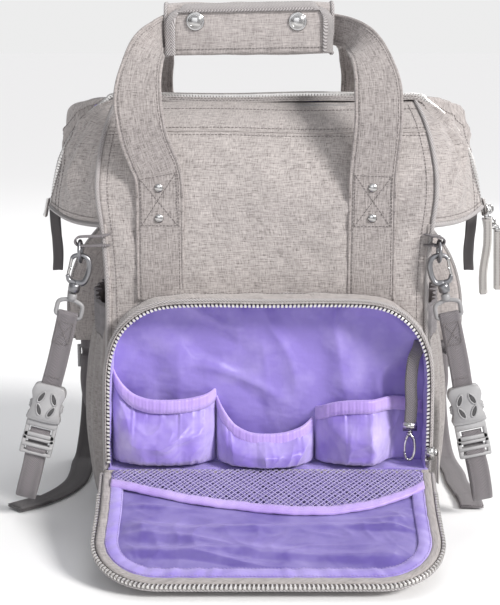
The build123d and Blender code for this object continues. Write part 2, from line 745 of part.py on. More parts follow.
def strap_web(name, edge):
    with BuildPart() as web:
        with BuildSketch(edge.offset(-WEB_WIDTH / 2)):
            Polygon((-1.3, WEB_TOP), (1.3, WEB_TOP), (1.3, WEB_BOTTOM), (-1.3, WEB_BOTTOM),
                    align=None)
        extrude(amount=WEB_WIDTH)
    save(name + "_web", web)


def buckle_socket(name, face):
    """Socket hollowed from below, with a slot through both sides."""
    with BuildPart() as socket:
        with BuildSketch(face.offset(-5)):
            with Locations((0, -146)):
                RectangleRounded(34, 36, 6)
        extrude(amount=10)
        fillet(socket.edges().filter_by(Plane.XZ), 1.6)
        for centre_y, width, height in ((-152, 26, 28), (-150, 36, 12)):
            with BuildSketch(face.offset(-2.8)):
                with Locations((0, centre_y)):
                    Rectangle(width, height)
            extrude(amount=5.6, mode=Mode.SUBTRACT)
    save(name + "_buckle_socket", socket)


def buckle_plug(name, face):
    """Plug with two barbed prongs and a centre guide, and a slotted bar below."""
    with BuildPart() as plug:
        with BuildSketch(face.offset(-2.2)):
            with Locations((0, -174)):
                RectangleRounded(30, 18, 3)
            with Locations((-9.4, -155), (9.4, -155)):
                RectangleRounded(5, 28, 2)
            with Locations((0, -156)):
                RectangleRounded(3.2, 24, 1.2)
            with Locations((-11, -146), (11, -146)):
                Rectangle(3.2, 8)
            with Locations((0, -176)):
                Rectangle(20.8, 4, mode=Mode.SUBTRACT)
        extrude(amount=4.4)
        with BuildSketch(face.offset(-3.2)):
            with Locations((0, -191.5)):
                RectangleRounded(32, 19, 3)
            with Locations((0, -188.5), (0, -196)):
                Rectangle(21, 4, mode=Mode.SUBTRACT)
        extrude(amount=5.6)
    save(name + "_buckle_plug", plug)


def strap_tail(name, edge):
    with BuildPart() as tail:
        with BuildSketch(edge.offset(-WEB_WIDTH / 2)):
            ribbon(TAIL_LINE, 2.0)
        extrude(amount=WEB_WIDTH)
    save(name + "_tail", tail)


for name, end, ring_x, tilt in STROLLER_STRAPS:
    origin = (ring_x, -STRAP_Y, RING_Z - RING_RADIUS)
    across = (cos(radians(tilt)), 0, end * sin(radians(tilt)))
    face = Plane(origin=origin, x_dir=across, z_dir=(0, -1, 0))
    edge = Plane(origin=origin, x_dir=(0, 1, 0), z_dir=across)
    clip_hook(name, end, face)
    clip_gate(name, end, face)
    swivel_loop(name, face)
    strap_web(name, edge)
    buckle_socket(name, face)
    buckle_plug(name, face)
    strap_tail(name, edge)
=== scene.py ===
"""Wide-mouth diaper backpack: cloth, linings, zips, webbing and metal round its CAD frame.

The bag stands on z = 0, centred on x = y = 0. Its front faces -y, its left is -x, and the
shoulder straps are on the back, at +y. The mouth is zipped shut along the top and the front
pocket's flap is folded down. Shapes are worked in millimetres; mesh_object makes them metres.
"""
import math

import bpy
import bmesh
import numpy as np
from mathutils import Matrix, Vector


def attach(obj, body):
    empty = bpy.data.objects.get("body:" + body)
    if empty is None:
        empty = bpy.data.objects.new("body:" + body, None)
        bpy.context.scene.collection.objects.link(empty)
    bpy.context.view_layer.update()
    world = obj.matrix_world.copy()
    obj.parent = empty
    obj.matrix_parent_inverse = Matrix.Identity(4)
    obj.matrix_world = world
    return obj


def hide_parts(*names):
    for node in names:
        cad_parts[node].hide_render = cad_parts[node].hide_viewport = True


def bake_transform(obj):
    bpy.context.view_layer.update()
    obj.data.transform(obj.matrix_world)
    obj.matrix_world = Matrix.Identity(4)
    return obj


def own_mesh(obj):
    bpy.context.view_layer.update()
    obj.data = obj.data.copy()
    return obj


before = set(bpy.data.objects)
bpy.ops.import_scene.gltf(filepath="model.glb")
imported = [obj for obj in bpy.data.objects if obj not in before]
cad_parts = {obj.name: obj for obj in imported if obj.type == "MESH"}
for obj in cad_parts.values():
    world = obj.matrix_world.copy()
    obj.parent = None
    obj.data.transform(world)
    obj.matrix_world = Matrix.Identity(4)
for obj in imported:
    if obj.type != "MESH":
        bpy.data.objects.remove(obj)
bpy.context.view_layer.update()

MM = 0.001
X_AXIS, Y_AXIS, Z_AXIS = np.eye(3)
SIDES = {-1: "front", 1: "back"}         # sign of y
HANDS = {-1: "l", 1: "r"}                # sign of x


# ============================================================ curves and grids
def length_of(path):
    return float(np.linalg.norm(np.diff(path, axis=0), axis=1).sum())


def distances(path):
    """Distance travelled along path at each of its points."""
    return np.r_[0, np.cumsum(np.linalg.norm(np.diff(path, axis=0), axis=1))]


def resample(path, count):
    """The polyline at count points, evenly spaced."""
    path = np.asarray(path, float)
    travelled = distances(path)
    stops = np.linspace(0, travelled[-1], count)
    return np.stack([np.interp(stops, travelled, column) for column in path.T], 1)


def catmull(stations, count, closed=False):
    """Smooth curve through the stations, at count evenly spaced points."""
    p = np.array(stations, float)
    if closed:
        p = np.vstack([p[-1], p, p[0], p[1]])
    else:
        p = np.vstack([2 * p[0] - p[1], p, 2 * p[-1] - p[-2]])
    t = np.linspace(0, 1, 24, endpoint=False)[:, None]
    pieces = []
    for i in range(len(p) - 3):
        a, b, c, d = p[i:i + 4]
        square = 2 * a - 5 * b + 4 * c - d
        cube = 3 * b - a - 3 * c + d
        pieces.append(0.5 * (2 * b + (c - a) * t + square * t ** 2 + cube * t ** 3))
    return resample(np.vstack(pieces + [p[-2][None]]), count)


def unit(v):
    v = np.asarray(v, float)
    size = np.linalg.norm(v, axis=-1, keepdims=True)
    return v / np.where(size < 1e-12, 1, size)


def tangents(path, closed=False):
    if closed:
        return unit(np.roll(path, -1, 0) - np.roll(path, 1, 0))
    return unit(np.gradient(path, axis=0))


def points(x, y, z):
    """Points from coordinates that broadcast against each other."""
    return np.stack(np.broadcast_arrays(x, y, z), -1)


def span(start, end, shares):
    """Grid between two curves of equal length, at the given shares of the way."""
    shares = np.asarray(shares)[None, :, None]
    return start[:, None] * (1 - shares) + end[:, None] * shares


def extrude(curve, depths):
    """Grid of the curve repeated at the given y offsets."""
    return curve[:, None] + points(0, depths, 0)


def grid_normals(grid):
    return unit(np.cross(np.gradient(grid, axis=0), np.gradient(grid, axis=1)))


def facing_normals(grid, row, col, axis, sign):
    """Grid normals, turned so that the one at (row, col) points to sign along axis."""
    normals = grid_normals(grid)
    return -normals if normals[row, col, axis] * sign < 0 else normals


def upright_curve(curve):
    """A curve of (x, z) points as 3-D points, with its normals away from the bag."""
    curve = points(curve[:, 0], 0, curve[:, 1])
    out = np.cross(tangents(curve), Y_AXIS)
    return curve, (-out if out[len(out) // 2, 2] < 0 else out)


def strap_axes(path, across):
    """Across and face directions of webbing that follows path."""
    along = tangents(path)
    across = np.broadcast_to(np.asarray(across, float), path.shape)
    across = unit(across - along * (across * along).sum(1, keepdims=True))
    return across, np.cross(along, across)


def directions(value, count):
    """One direction, or a row of them, as count unit vectors."""
    value = np.asarray(value, float)
    if value.ndim > 1:
        return unit(resample(value, count))
    return np.broadcast_to(unit(value), (count, 3))


def full_turn(count):
    return np.linspace(0, 2 * math.pi, count, endpoint=False)


def rounded_rect(cx, cy, width, height, radius, steps=5):
    outline = []
    for sx, sy, start in ((1, 1, 0), (-1, 1, 90), (-1, -1, 180), (1, -1, 270)):
        for k in range(steps + 1):
            a = math.radians(start + 90 * k / steps)
            outline.append((cx + sx * (width / 2 - radius) + radius * math.cos(a),
                            cy + sy * (height / 2 - radius) + radius * math.sin(a)))
    return np.array(outline)


def smoothstep(k):
    return k * k * (3 - 2 * k)


def smooth_noise(u, v, seed, scale):
    """Six random waves added up: smooth 2-D noise, about -1..1."""
    rng = np.random.default_rng(seed)
    total = np.zeros(np.broadcast(u, v).shape)
    for _ in range(6):
        a = rng.uniform(0, 2 * math.pi)
        f = rng.uniform(0.5, 1.6) / scale
        phase = rng.uniform(0, 6.28)
        total = total + np.sin((u * math.cos(a) + v * math.sin(a)) * f * 2 * math.pi + phase)
    return total / 6 * 1.6


def folds(u, v, seed, scale, sharp, warp):
    """Soft cloth folds with narrow crests, 0..1, from warped noise."""
    wu = u + smooth_noise(u, v, seed + 1, scale * 1.7) * warp
    wv = v + smooth_noise(u, v, seed + 2, scale * 1.7) * warp
    crest = smooth_noise(wu, wv, seed, scale)
    return (1 - np.clip(np.abs(crest) * 1.6, 0, 1)) ** sharp


# =================================================================== materials
class Shader:
    """One material's node tree, with short ways of adding to it."""

    def __init__(self, name):
        self.material = bpy.data.materials.new(name)
        self.material.use_nodes = True
        self.tree = self.material.node_tree
        self.coords = self.add("ShaderNodeTexCoord").outputs

    def feed(self, socket, value):
        if isinstance(value, bpy.types.NodeSocket):
            self.tree.links.new(value, socket)
        else:
            socket.default_value = (*value, 1) if socket.type == "RGBA" else value

    def add(self, kind, inputs=(), **settings):
        made = self.tree.nodes.new(kind)
        for key, value in settings.items():
            setattr(made, key, value)
        for key, value in dict(inputs).items():
            self.feed(made.inputs[key], value)
        return made

    def mapped(self, space, scale, turn=(0, 0, 0)):
        return self.add("ShaderNodeMapping", {
            "Vector": self.coords[space], "Scale": scale, "Rotation": turn}).outputs[0]

    def noise(self, space, scale, detail, rough=0.5):
        """Noise with its own scale, per metre, along each axis of the space."""
        return self.add("ShaderNodeTexNoise", {
            "Vector": self.mapped(space, scale), "Scale": 1.0,
            "Detail": detail, "Roughness": rough}).outputs["Fac"]

    def split(self, space):
        return self.add("ShaderNodeSeparateXYZ", {0: self.coords[space]}).outputs

    def ramp(self, value, *stops):
        """Colour ramp; a stop is (position, colour)."""
        made = self.add("ShaderNodeValToRGB", {0: value})
        elements = made.color_ramp.elements
        while len(elements) < len(stops):
            elements.new(0.5)
        for element, (position, colour) in zip(elements, stops):
            element.position = position
            element.color = (*colour, 1)
        return made.outputs[0]

    def math(self, operation, *values, clamp=False):
        return self.add("ShaderNodeMath", dict(enumerate(values)),
                        operation=operation, use_clamp=clamp).outputs[0]

    def weighted(self, a, weight_a, b, weight_b, clamp=False):
        return self.math("ADD", self.math("MULTIPLY", a, weight_a),
                         self.math("MULTIPLY", b, weight_b), clamp=clamp)

    def mix(self, share, a, b, blend="MIX"):
        return self.add("ShaderNodeMix", {0: share, 6: a, 7: b},
                        data_type="RGBA", blend_type=blend).outputs[2]

    def bump(self, height, strength, distance, normal=None):
        inputs = {"Strength": strength, "Distance": distance, "Height": height}
        if normal is not None:
            inputs["Normal"] = normal
        return self.add("ShaderNodeBump", inputs).outputs[0]

    def surface(self, inputs):
        bsdf = self.tree.nodes["Principled BSDF"]
        for key, value in inputs.items():
            self.feed(bsdf.inputs[key], value)
        return self.material


def shade(colour, factor):
    return tuple(min(1, c * factor) for c in colour)


def mixed(a, share, b):
    return tuple(p * share + q * (1 - share) for p, q in zip(a, b))


WEAVE_PITCH = 0.0009       # m
HERRINGBONE_WIDTH = 0.0125  # m, one zigzag across the webbing
MESH_PITCH = 5.2           # mm


def melange(name, light, dark, weave=0.9):
    """Heathered two-tone cloth: slubs along both thread directions and a plain weave."""
    sh = Shader(name)
    # thin runs of lighter and darker yarn each way, with single fibres over them
    yarn = sh.weighted(sh.noise("UV", (120, 1350, 900), detail=1.5), 0.56,
                       sh.noise("UV", (1350, 170, 900), detail=1.5), 0.44)
    fibre = sh.noise("UV", (2100, 2100, 900), detail=1.5, rough=0.6)
    yarn = sh.weighted(yarn, 0.80, fibre, 0.20)
    slub = sh.weighted(sh.noise("UV", (38, 640, 400), detail=1.5), 0.55,
                       sh.noise("UV", (640, 60, 400), detail=1.5), 0.45)
    colour = sh.ramp(yarn, (0.36, shade(dark, 0.9)), (0.455, mixed(light, 0.66, dark)),
                     (0.54, light), (0.66, shade(light, 1.22)))
    slub_tone = sh.ramp(slub, (0.36, (0.74, 0.73, 0.73)), (0.50, (0.98, 0.98, 0.98)),
                        (0.64, (1.12, 1.12, 1.12)))
    colour = sh.mix(0.8, colour, slub_tone, "MULTIPLY")
    # broad, faint change of tone over the whole piece
    patch = sh.noise("Object", (9, 9, 9), detail=2)
    patch_tone = sh.ramp(patch, (0.3, (0.93, 0.925, 0.93)), (0.7, (1.05, 1.045, 1.04)))
    colour = sh.mix(0.8, colour, patch_tone, "MULTIPLY")
    # plain weave, with painted shade in the gaps between threads
    bands = [sh.add("ShaderNodeTexWave",
                    {"Scale": 0.33 / WEAVE_PITCH, "Distortion": 0.6, "Vector": sh.coords["UV"]},
                    wave_type="BANDS", bands_direction=axis).outputs["Fac"] for axis in "XY"]
    threads = sh.math("MULTIPLY", *bands)
    painted_gap_shade = sh.math("MULTIPLY", sh.math("SUBTRACT", 0.55, threads, clamp=True), 0.30)
    colour = sh.mix(painted_gap_shade, colour, shade(dark, 0.45))
    relief = sh.weighted(threads, 0.5, yarn, 0.9)
    crease = sh.noise("Object", (38, 38, 30), detail=4, rough=0.6)
    creased = sh.bump(crease, strength=0.28, distance=0.004)
    return sh.surface({
        "Base Color": colour,
        "Normal": sh.bump(relief, strength=0.5 * weave, distance=0.0006, normal=creased),
        "Roughness": 0.86, "Specular IOR Level": 0.25,
        "Sheen Weight": 0.25, "Sheen Roughness": 0.5})


def webbing(name, light, dark, rib=1.7):
    """Herringbone webbing with ribs rib mm apart; U runs along it and V across."""
    sh = Shader(name)
    along, across = sh.split("UV")[:2]
    column = sh.math("DIVIDE", sh.math("ADD", across, 1.0), HERRINGBONE_WIDTH)
    triangle = sh.math("ABSOLUTE", sh.math("SUBTRACT", sh.math("FRACT", column), 0.5))
    zigzag = sh.math("ADD", sh.math("DIVIDE", along, rib * MM),
                     sh.math("MULTIPLY", triangle, 5.5))
    ribs = sh.math("MULTIPLY_ADD", sh.math("SINE", sh.math("MULTIPLY", zigzag, 6.2832)),
                   0.5, 0.5)
    # ribs sink at the middle line of each herringbone column
    groove = sh.math("ADD", sh.math("MULTIPLY", triangle, 2.0), 0.12, clamp=True)
    ribs = sh.math("MULTIPLY", ribs, sh.math("POWER", groove, 0.35))
    fibre = sh.noise("UV", (500, 2400, 1), detail=2, rough=0.6)
    relief = sh.weighted(ribs, 0.62, fibre, 0.45)
    # the colour darkens where the relief is low: painted shade in the grooves between ribs, with
    # random fibre tone over it
    return sh.surface({
        "Base Color": sh.ramp(relief, (0.15, shade(dark, 0.7)), (0.40, mixed(dark, 0.6, light)),
                              (0.80, light)),
        "Normal": sh.bump(relief, strength=0.8, distance=0.0009),
        "Roughness": 0.72, "Specular IOR Level": 0.35, "Sheen Weight": 0.15})


def satin(name, base, bright, rough, wrinkle=1.0):
    """Thin satin with a painted sheen that lightens it towards grazing angles, and fine puckers.
    """
    sh = Shader(name)
    # painted sheen: the colour runs from base to bright as the surface turns away from the
    # camera, plus random tone
    facing = sh.add("ShaderNodeLayerWeight", {"Blend": 0.42}).outputs["Facing"]
    tone = sh.noise("Object", (26, 26, 26), detail=3, rough=0.6)
    painted_sheen_and_tone = sh.weighted(facing, 0.95, sh.math("SUBTRACT", tone, 0.5), 0.9, clamp=True)
    colour = sh.mix(painted_sheen_and_tone, base, bright)
    thread = sh.noise("UV", (4200, 260, 1), detail=2)
    colour = sh.mix(sh.math("MULTIPLY", thread, 0.16), colour, shade(base, 0.5))
    normal = sh.bump(sh.noise("Object", (34, 60, 60), detail=2.0),
                     strength=0.30 * wrinkle, distance=0.006)
    normal = sh.bump(sh.noise("Object", (210, 210, 120), detail=3),
                     strength=0.10 * wrinkle, distance=0.0022, normal=normal)
    return sh.surface({
        "Base Color": colour,
        "Normal": sh.bump(thread, strength=0.10, distance=0.0004, normal=normal),
        "Roughness": rough, "Specular IOR Level": 0.5, "Anisotropic": 0.6,
        "Sheen Weight": 0.12, "Sheen Tint": bright})


def metal(name, colour, rough, bands=0.0):
    """Worn metal; bands sets how strongly painted reflection darkens it where it would mirror
    the unlit parts of a room.
    """
    sh = Shader(name)
    scratch = sh.noise("Object", (900, 300, 300), detail=4, rough=0.6)
    patch = sh.noise("Object", (120, 120, 120), detail=3, rough=0.6)
    base = sh.ramp(patch, (0.3, shade(colour, 0.82)), (0.7, colour))
    if bands:
        # painted reflection: light and dark bands set by the direction the surface mirrors,
        # multiplied into the colour
        mirror = sh.split("Reflection")
        upward = sh.math("ADD", sh.weighted(mirror[2], 0.5, mirror[0], 0.10), 0.5)
        painted_reflection = sh.ramp(upward, (0.16, (0.30, 0.29, 0.285)), (0.34, (0.80, 0.79, 0.78)),
                       (0.47, (0.20, 0.195, 0.20)), (0.56, (0.62, 0.61, 0.61)),
                       (0.70, (1.0, 1.0, 1.0)))
        base = sh.mix(bands, base, painted_reflection, "MULTIPLY")
    return sh.surface({
        "Base Color": base, "Metallic": 1.0,
        "Roughness": sh.math("MULTIPLY_ADD", scratch, 0.18, rough - 0.05),
        "Normal": sh.bump(scratch, strength=0.024, distance=0.0004)})


def plastic(name, colour, rough, grain=0.35):
    sh = Shader(name)
    pits = sh.noise("Object", (1500, 1500, 1500), detail=2)
    patch = sh.noise("Object", (60, 60, 60), detail=4, rough=0.6)
    return sh.surface({
        "Base Color": sh.ramp(patch, (0.25, shade(colour, 0.86)), (0.75, shade(colour, 1.06))),
        "Roughness": sh.ramp(patch, (0.2, (rough + 0.1,) * 3), (0.8, (rough - 0.06,) * 3)),
        "Normal": sh.bump(pits, strength=grain * 0.5, distance=0.0003)})


def knitted_mesh(name, colour):
    """Round holes on a staggered grid."""
    sh = Shader(name)
    cells = 1000 / MESH_PITCH
    hole = sh.add("ShaderNodeTexVoronoi", {
        "Scale": 1.0, "Randomness": 0.12,
        "Vector": sh.mapped("UV", (cells, cells * 0.8, 1), turn=(0, 0, 0.785))},
        feature="F1").outputs["Distance"]
    yarn = sh.noise("UV", (2600, 2600, 1), detail=2)
    return sh.surface({
        "Base Color": sh.ramp(yarn, (0.3, shade(colour, 0.7)), (0.7, colour)),
        "Alpha": sh.ramp(hole, (0.30, (0, 0, 0)), (0.42, (1, 1, 1))),
        "Normal": sh.bump(hole, strength=0.6, distance=0.0008),
        "Roughness": 0.6, "Sheen Weight": 0.3})


# key: (usual frame slot, material)
MATERIALS = {
    "shell": ("shell_fabric", melange(
        "shell_fabric", light=(0.505, 0.464, 0.448), dark=(0.175, 0.155, 0.148))),
    # darker copy of the shell cloth: painted shade on the side pockets and the base
    "shell_painted_shade": ("shell_fabric", melange(
        "gusset_fabric", light=(0.37, 0.34, 0.33), dark=(0.14, 0.127, 0.122))),
    "strapcloth": ("webbing", melange(
        "strap_cloth", light=(0.425, 0.388, 0.375), dark=(0.145, 0.128, 0.124))),
    "pad": ("pad_fabric", melange(
        "pad_fabric", light=(0.50, 0.46, 0.445), dark=(0.25, 0.225, 0.22))),
    "web": ("webbing", webbing(
        "webbing", light=(0.285, 0.262, 0.272), dark=(0.112, 0.102, 0.110))),
    "bind": ("webbing", webbing(
        "binding_tape", light=(0.60, 0.57, 0.565), dark=(0.20, 0.18, 0.18), rib=3.0)),
    "webdark": ("webbing", webbing(
        "webbing_dark", light=(0.17, 0.157, 0.16), dark=(0.065, 0.06, 0.062))),
    "tape": ("zip_chain", melange(
        "zip_tape", light=(0.44, 0.41, 0.40), dark=(0.24, 0.22, 0.215), weave=0.6)),
    "satin": ("lining_fabric", satin(
        "satin_lining", base=(0.26, 0.195, 0.56), bright=(0.66, 0.58, 0.92), rough=0.38)),
    # darker copy of the lining: painted shade on the flap's satin, which faces up into the light
    "satin_flap": ("lining_fabric", satin(
        "satin_flap", base=(0.125, 0.09, 0.335), bright=(0.44, 0.38, 0.70), rough=0.36)),
    "satin_gathered": ("lining_light", satin(
        "satin_gathered", base=(0.27, 0.19, 0.60), bright=(0.80, 0.71, 0.96), rough=0.42)),
    "satin_bind": ("lining_light", satin(
        "satin_binding", base=(0.42, 0.29, 0.70), bright=(0.74, 0.62, 0.94), rough=0.45,
        wrinkle=0.6)),
    "mesh": ("mesh_fabric", knitted_mesh("mesh_net", colour=(0.17, 0.13, 0.36))),
    "mesh_yarn": ("mesh_fabric", satin(
        "mesh_yarn", base=(0.42, 0.36, 0.62), bright=(0.66, 0.60, 0.82), rough=0.5,
        wrinkle=0.2)),
    "chrome": ("polished_metal", metal(
        "polished_metal", colour=(0.84, 0.83, 0.82), rough=0.15, bands=0.85)),
    "steel": ("satin_metal", metal(
        "satin_metal", colour=(0.36, 0.36, 0.375), rough=0.30, bands=0.45)),
    "wire": (None, metal("steel_wire", colour=(0.42, 0.42, 0.43), rough=0.38)),
    "plastic": ("grey_plastic", plastic("grey_plastic", colour=(0.36, 0.355, 0.36), rough=0.36)),
    # near-black plastic: painted shade for the buckle's windows
    "window_shade": ("grey_plastic", plastic(
        "plastic_recess", colour=(0.07, 0.068, 0.07), rough=0.5)),
    "plastic_light": ("grey_plastic", plastic(
        "light_plastic", colour=(0.30, 0.295, 0.30), rough=0.36)),
    "teeth": ("zip_chain", metal("zip_teeth", colour=(0.80, 0.78, 0.76), rough=0.34)),
    "pull": ("pull_leather", plastic(
        "pull_leather", colour=(0.42, 0.40, 0.385), rough=0.5, grain=0.8)),
    "thread": ("shell_fabric", melange(
        "thread", light=(0.24, 0.215, 0.21), dark=(0.13, 0.118, 0.115), weave=0.2)),
    "thread_dark": ("zip_chain", melange(
        "thread_dark", light=(0.20, 0.18, 0.175), dark=(0.11, 0.1, 0.1), weave=0.2)),
    "thread_violet": ("lining_light", satin(
        "thread_violet", base=(0.36, 0.29, 0.58), bright=(0.6, 0.52, 0.8), rough=0.6,
        wrinkle=0.2)),
    "foam": (None, plastic("foam", colour=(0.30, 0.29, 0.285), rough=0.9, grain=1.0)),
    "board": (None, plastic("board", colour=(0.74, 0.72, 0.68), rough=0.7, grain=0.6)),
}


# ============================================================== mesh builders
# All builders end in (material key, body, *CAD nodes replaced). A body is a frame body, or the
# sign of a side: such cloth has its placement baked into its mesh and is not attached to a body.
# A node given as False is left out.
def mesh_object(name, verts, faces, uvs, mat, body, *replaced, slot=None, smooth=True):
    """Object from millimetre vertices, with a UV in millimetres of cloth per vertex."""
    usual_slot, material = MATERIALS[mat]
    mesh = bpy.data.meshes.new(name)
    mesh.from_pydata((np.asarray(verts) * MM).tolist(), [], faces)
    mesh.update()
    layer = mesh.uv_layers.new(name="UVMap")
    corners = np.empty(len(mesh.loops), dtype=np.int64)
    mesh.loops.foreach_get("vertex_index", corners)
    layer.data.foreach_set("uv", (np.asarray(uvs, float)[corners] * MM).ravel())
    mesh.polygons.foreach_set("use_smooth", [smooth] * len(mesh.polygons))
    mesh.materials.append(material)
    ob = bpy.data.objects.new(name, mesh)
    bpy.context.scene.collection.objects.link(ob)
    bm = bmesh.new()
    bm.from_mesh(mesh)
    bmesh.ops.recalc_face_normals(bm, faces=bm.faces)
    bm.to_mesh(mesh)
    bm.free()

    nodes = [node for node in replaced if node]
    if nodes:
        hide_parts(*nodes)
    if body in SIDES:
        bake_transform(ob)
    else:
        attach(ob, body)
    return ob


def ring_faces(rings, count, closed=False):
    """Quads that join rings of count vertices; both ends are capped unless it is closed."""
    faces = []
    for i in range(rings if closed else rings - 1):
        a, b = i * count, (i + 1) % rings * count
        for j in range(count):
            k = (j + 1) % count
            faces.append([a + j, a + k, b + k, b + j])
    if not closed:
        faces.append(list(range(count))[::-1])
        faces.append([(rings - 1) * count + j for j in range(count)])
    return faces


def cloth_uv(grid):
    """Arc-length coordinates of a grid, so the cloth texture keeps its scale."""
    down = np.linalg.norm(np.diff(grid, axis=0), axis=2)
    across = np.linalg.norm(np.diff(grid, axis=1), axis=2)
    down = np.concatenate([np.zeros((1, grid.shape[1])), np.cumsum(down, 0)], 0)
    across = np.concatenate([np.zeros((grid.shape[0], 1)), np.cumsum(across, 1)], 1)
    return np.stack([across, down], -1).reshape(-1, 2)


def sheet(name, grid, thick, mat, body, *replaced, side=1, slot=None, swap_uv=False):
    """Closed cloth slab on a grid of points; side 1 thickens it against the grid normal."""
    rows, cols = grid.shape[:2]
    below = rows * cols
    verts = np.vstack([grid.reshape(-1, 3),
                       (grid - grid_normals(grid) * side * thick).reshape(-1, 3)])
    index = np.arange(below).reshape(rows, cols)
    quads = np.stack([index[:-1, :-1], index[1:, :-1], index[1:, 1:], index[:-1, 1:]], -1)
    quads = quads.reshape(-1, 4)
    rim = np.concatenate([index[:, 0], index[-1, 1:], index[:-1, -1][::-1],
                          index[0, 1:-1][::-1]])
    after = np.roll(rim, -1)
    walls = np.stack([after, rim, rim + below, after + below], 1)
    faces = np.vstack([quads, quads[:, ::-1] + below, walls]).tolist()
    uv = cloth_uv(grid)
    if swap_uv:
        uv = uv[:, ::-1]
    return mesh_object(name, verts, faces, np.vstack([uv, uv]), mat, body, *replaced, slot=slot)


def strap(name, path, across, width, thick, mat, body, *replaced):
    """Webbing along path with thinned edges; across and width may vary along it."""
    path = np.asarray(path, float)
    across, face = strap_axes(path, across)
    half = np.broadcast_to(np.asarray(width, float), (len(path),))[:, None] / 2
    steps = np.linspace(-1, 1, 11)
    place = np.r_[steps, -steps]
    level = np.where(np.abs(place) < 0.95, 1.0, 0.35) * np.repeat([1, -1], 11)
    verts = (path[:, None] + across[:, None] * (half * place)[..., None]
             + face[:, None] * (thick / 2 * level)[:, None])
    uv = np.stack(np.broadcast_arrays(distances(path)[:, None], half * place), -1)
    return mesh_object(name, verts.reshape(-1, 3), ring_faces(len(path), len(place)),
                       uv.reshape(-1, 2), mat, body, *replaced)


# thread: (pitch, stitch length, thread radius)
STITCHES = {
    "plain": (3.6, 2.5, 0.34), "edge": (3.6, 2.5, 0.35), "zip": (3.4, 2.3, 0.30),
    "handle": (3.8, 2.7, 0.40), "handle_box": (3.2, 2.4, 0.42), "hem": (3.2, 2.2, 0.30),
    "net": (2.8, 2.0, 0.30), "leash": (3.2, 2.2, 0.32), "pull": (3.0, 2.1, 0.26),
    "strap": (2.8, 2.1, 0.32), "shoulder": (3.4, 2.4, 0.32), "shoulder_bar": (3.0, 2.2, 0.36),
}
STITCH_LIFT = 0.15
TOOTH_PITCH = 3.9


class Batch:
    """Collects many small pieces into one mesh."""

    def __init__(self):
        self.verts, self.faces, self.uvs, self.count = [], [], [], 0

    def add(self, verts, faces, uv=None):
        self.verts.append(verts)
        self.faces += [[i + self.count for i in face] for face in faces]
        self.uvs.append(np.zeros((len(verts), 2)) if uv is None else uv)
        self.count += len(verts)

    def tube(self, path, radius, seg=8, closed=False):
        path = np.asarray(path, float)
        count = len(path)
        radius = np.broadcast_to(np.asarray(radius, float), (count,))
        along = tangents(path, closed)
        a = unit(np.cross(along, (0.13, 0.27, 0.95)))
        # parallel transport keeps the cross-section from twisting
        for i in range(1, count):
            v = a[i - 1] - along[i] * np.dot(a[i - 1], along[i])
            a[i] = v / max(np.linalg.norm(v), 1e-9)
        b = np.cross(along, a)
        angles = full_turn(seg)
        ring = (a[:, None] * np.cos(angles)[None, :, None]
                + b[:, None] * np.sin(angles)[None, :, None])
        verts = path[:, None] + radius[:, None, None] * ring
        uv = np.stack(np.meshgrid(distances(path), angles * radius.mean(), indexing="ij"), -1)
        self.add(verts.reshape(-1, 3), ring_faces(count, seg, closed), uv.reshape(-1, 2))

    def box(self, centre, ax, ay, az, bevel):
        """Box with half-extent vectors ax, ay, az; bevel draws in the corners at +az."""
        centre, ax, ay, az = (np.asarray(v, float) for v in (centre, ax, ay, az))
        verts = [centre + ax * sx * k + ay * sy * k + az * level
                 for k, level in ((1, -1), (1, 0.4), (1 - bevel, 1))
                 for sx, sy in ((-1, -1), (1, -1), (1, 1), (-1, 1))]
        faces = ring_faces(3, 4)
        self.add(np.array(verts), faces[-2:] + faces[:-2])

    def block(self, low, high, bevel, axis):
        """Axis-aligned box between two corners, bevelled at its + end along axis."""
        low, high = np.array(low, float), np.array(high, float)
        edges = np.diag((high - low) / 2)
        first, second = [i for i in range(3) if i != axis]
        self.box((low + high) / 2, edges[first], edges[second], edges[axis], bevel)

    def lathe(self, centre, axis, profile, seg=24):
        """Turned piece; profile is (radius, height along axis)."""
        axis = unit(axis)
        a = unit(np.cross(axis, Z_AXIS if abs(axis[2]) < 0.9 else X_AXIS))
        b = np.cross(axis, a)
        angles = full_turn(seg)[:, None]
        ring = a * np.cos(angles) + b * np.sin(angles)
        verts = [np.asarray(centre) + axis * height + ring * r for r, height in profile]
        self.add(np.vstack(verts), ring_faces(len(profile), seg))

    def stitches(self, path, normal, style="plain"):
        """A row of thread stitches along path, standing on the side of normal."""
        pitch, length, r = STITCHES[style]
        count = max(2, int(length_of(path) / pitch))
        path = resample(path, count * 4 + 1)
        normals = directions(normal, len(path))
        along = tangents(path) * length / 2
        for i in range(1, count * 4, 4):
            c, t, n = path[i], along[i], normals[i]
            arc = [c - t - n * 0.1, c - t * 0.6 + n * STITCH_LIFT, c + n * (STITCH_LIFT + 0.12),
                   c + t * 0.6 + n * STITCH_LIFT, c + t - n * 0.1]
            self.tube(arc, [r * 0.6, r, r, r, r * 0.6], seg=5)

    def teeth(self, path, out, across, shift, half_across, half_out, first=0):
        """Coarse zip teeth on every second of the evenly spaced places along path."""
        count = int(length_of(path) / TOOTH_PITCH) * 2
        path = resample(path, count)
        out, across = directions(out, count), directions(across, count)
        along = tangents(path)
        for i in range(first, count, 2):
            self.box(path[i] + out[i] * 0.2 + across[i] * shift, along[i] * 1.15,
                     across[i] * half_across, out[i] * half_out, 0.4)

    def build(self, name, mat, body, *replaced, slot=None, smooth=True):
        return mesh_object(name, np.vstack(self.verts), self.faces, np.vstack(self.uvs),
                           mat, body, *replaced, slot=slot, smooth=smooth)


def tubes(name, paths, radius, mat, body, *replaced, seg=8, closed=False, slot=None):
    batch = Batch()
    for path in paths:
        batch.tube(path, radius, seg, closed)
    return batch.build(name, mat, body, *replaced, slot=slot)


def seams(name, rows, body, style="plain", mat="thread", slot=None):
    """Stitch rows; a row is (path, normal)."""
    batch = Batch()
    for path, normal in rows:
        batch.stitches(path, normal, style)
    return batch.build(name, mat, body, slot=slot)


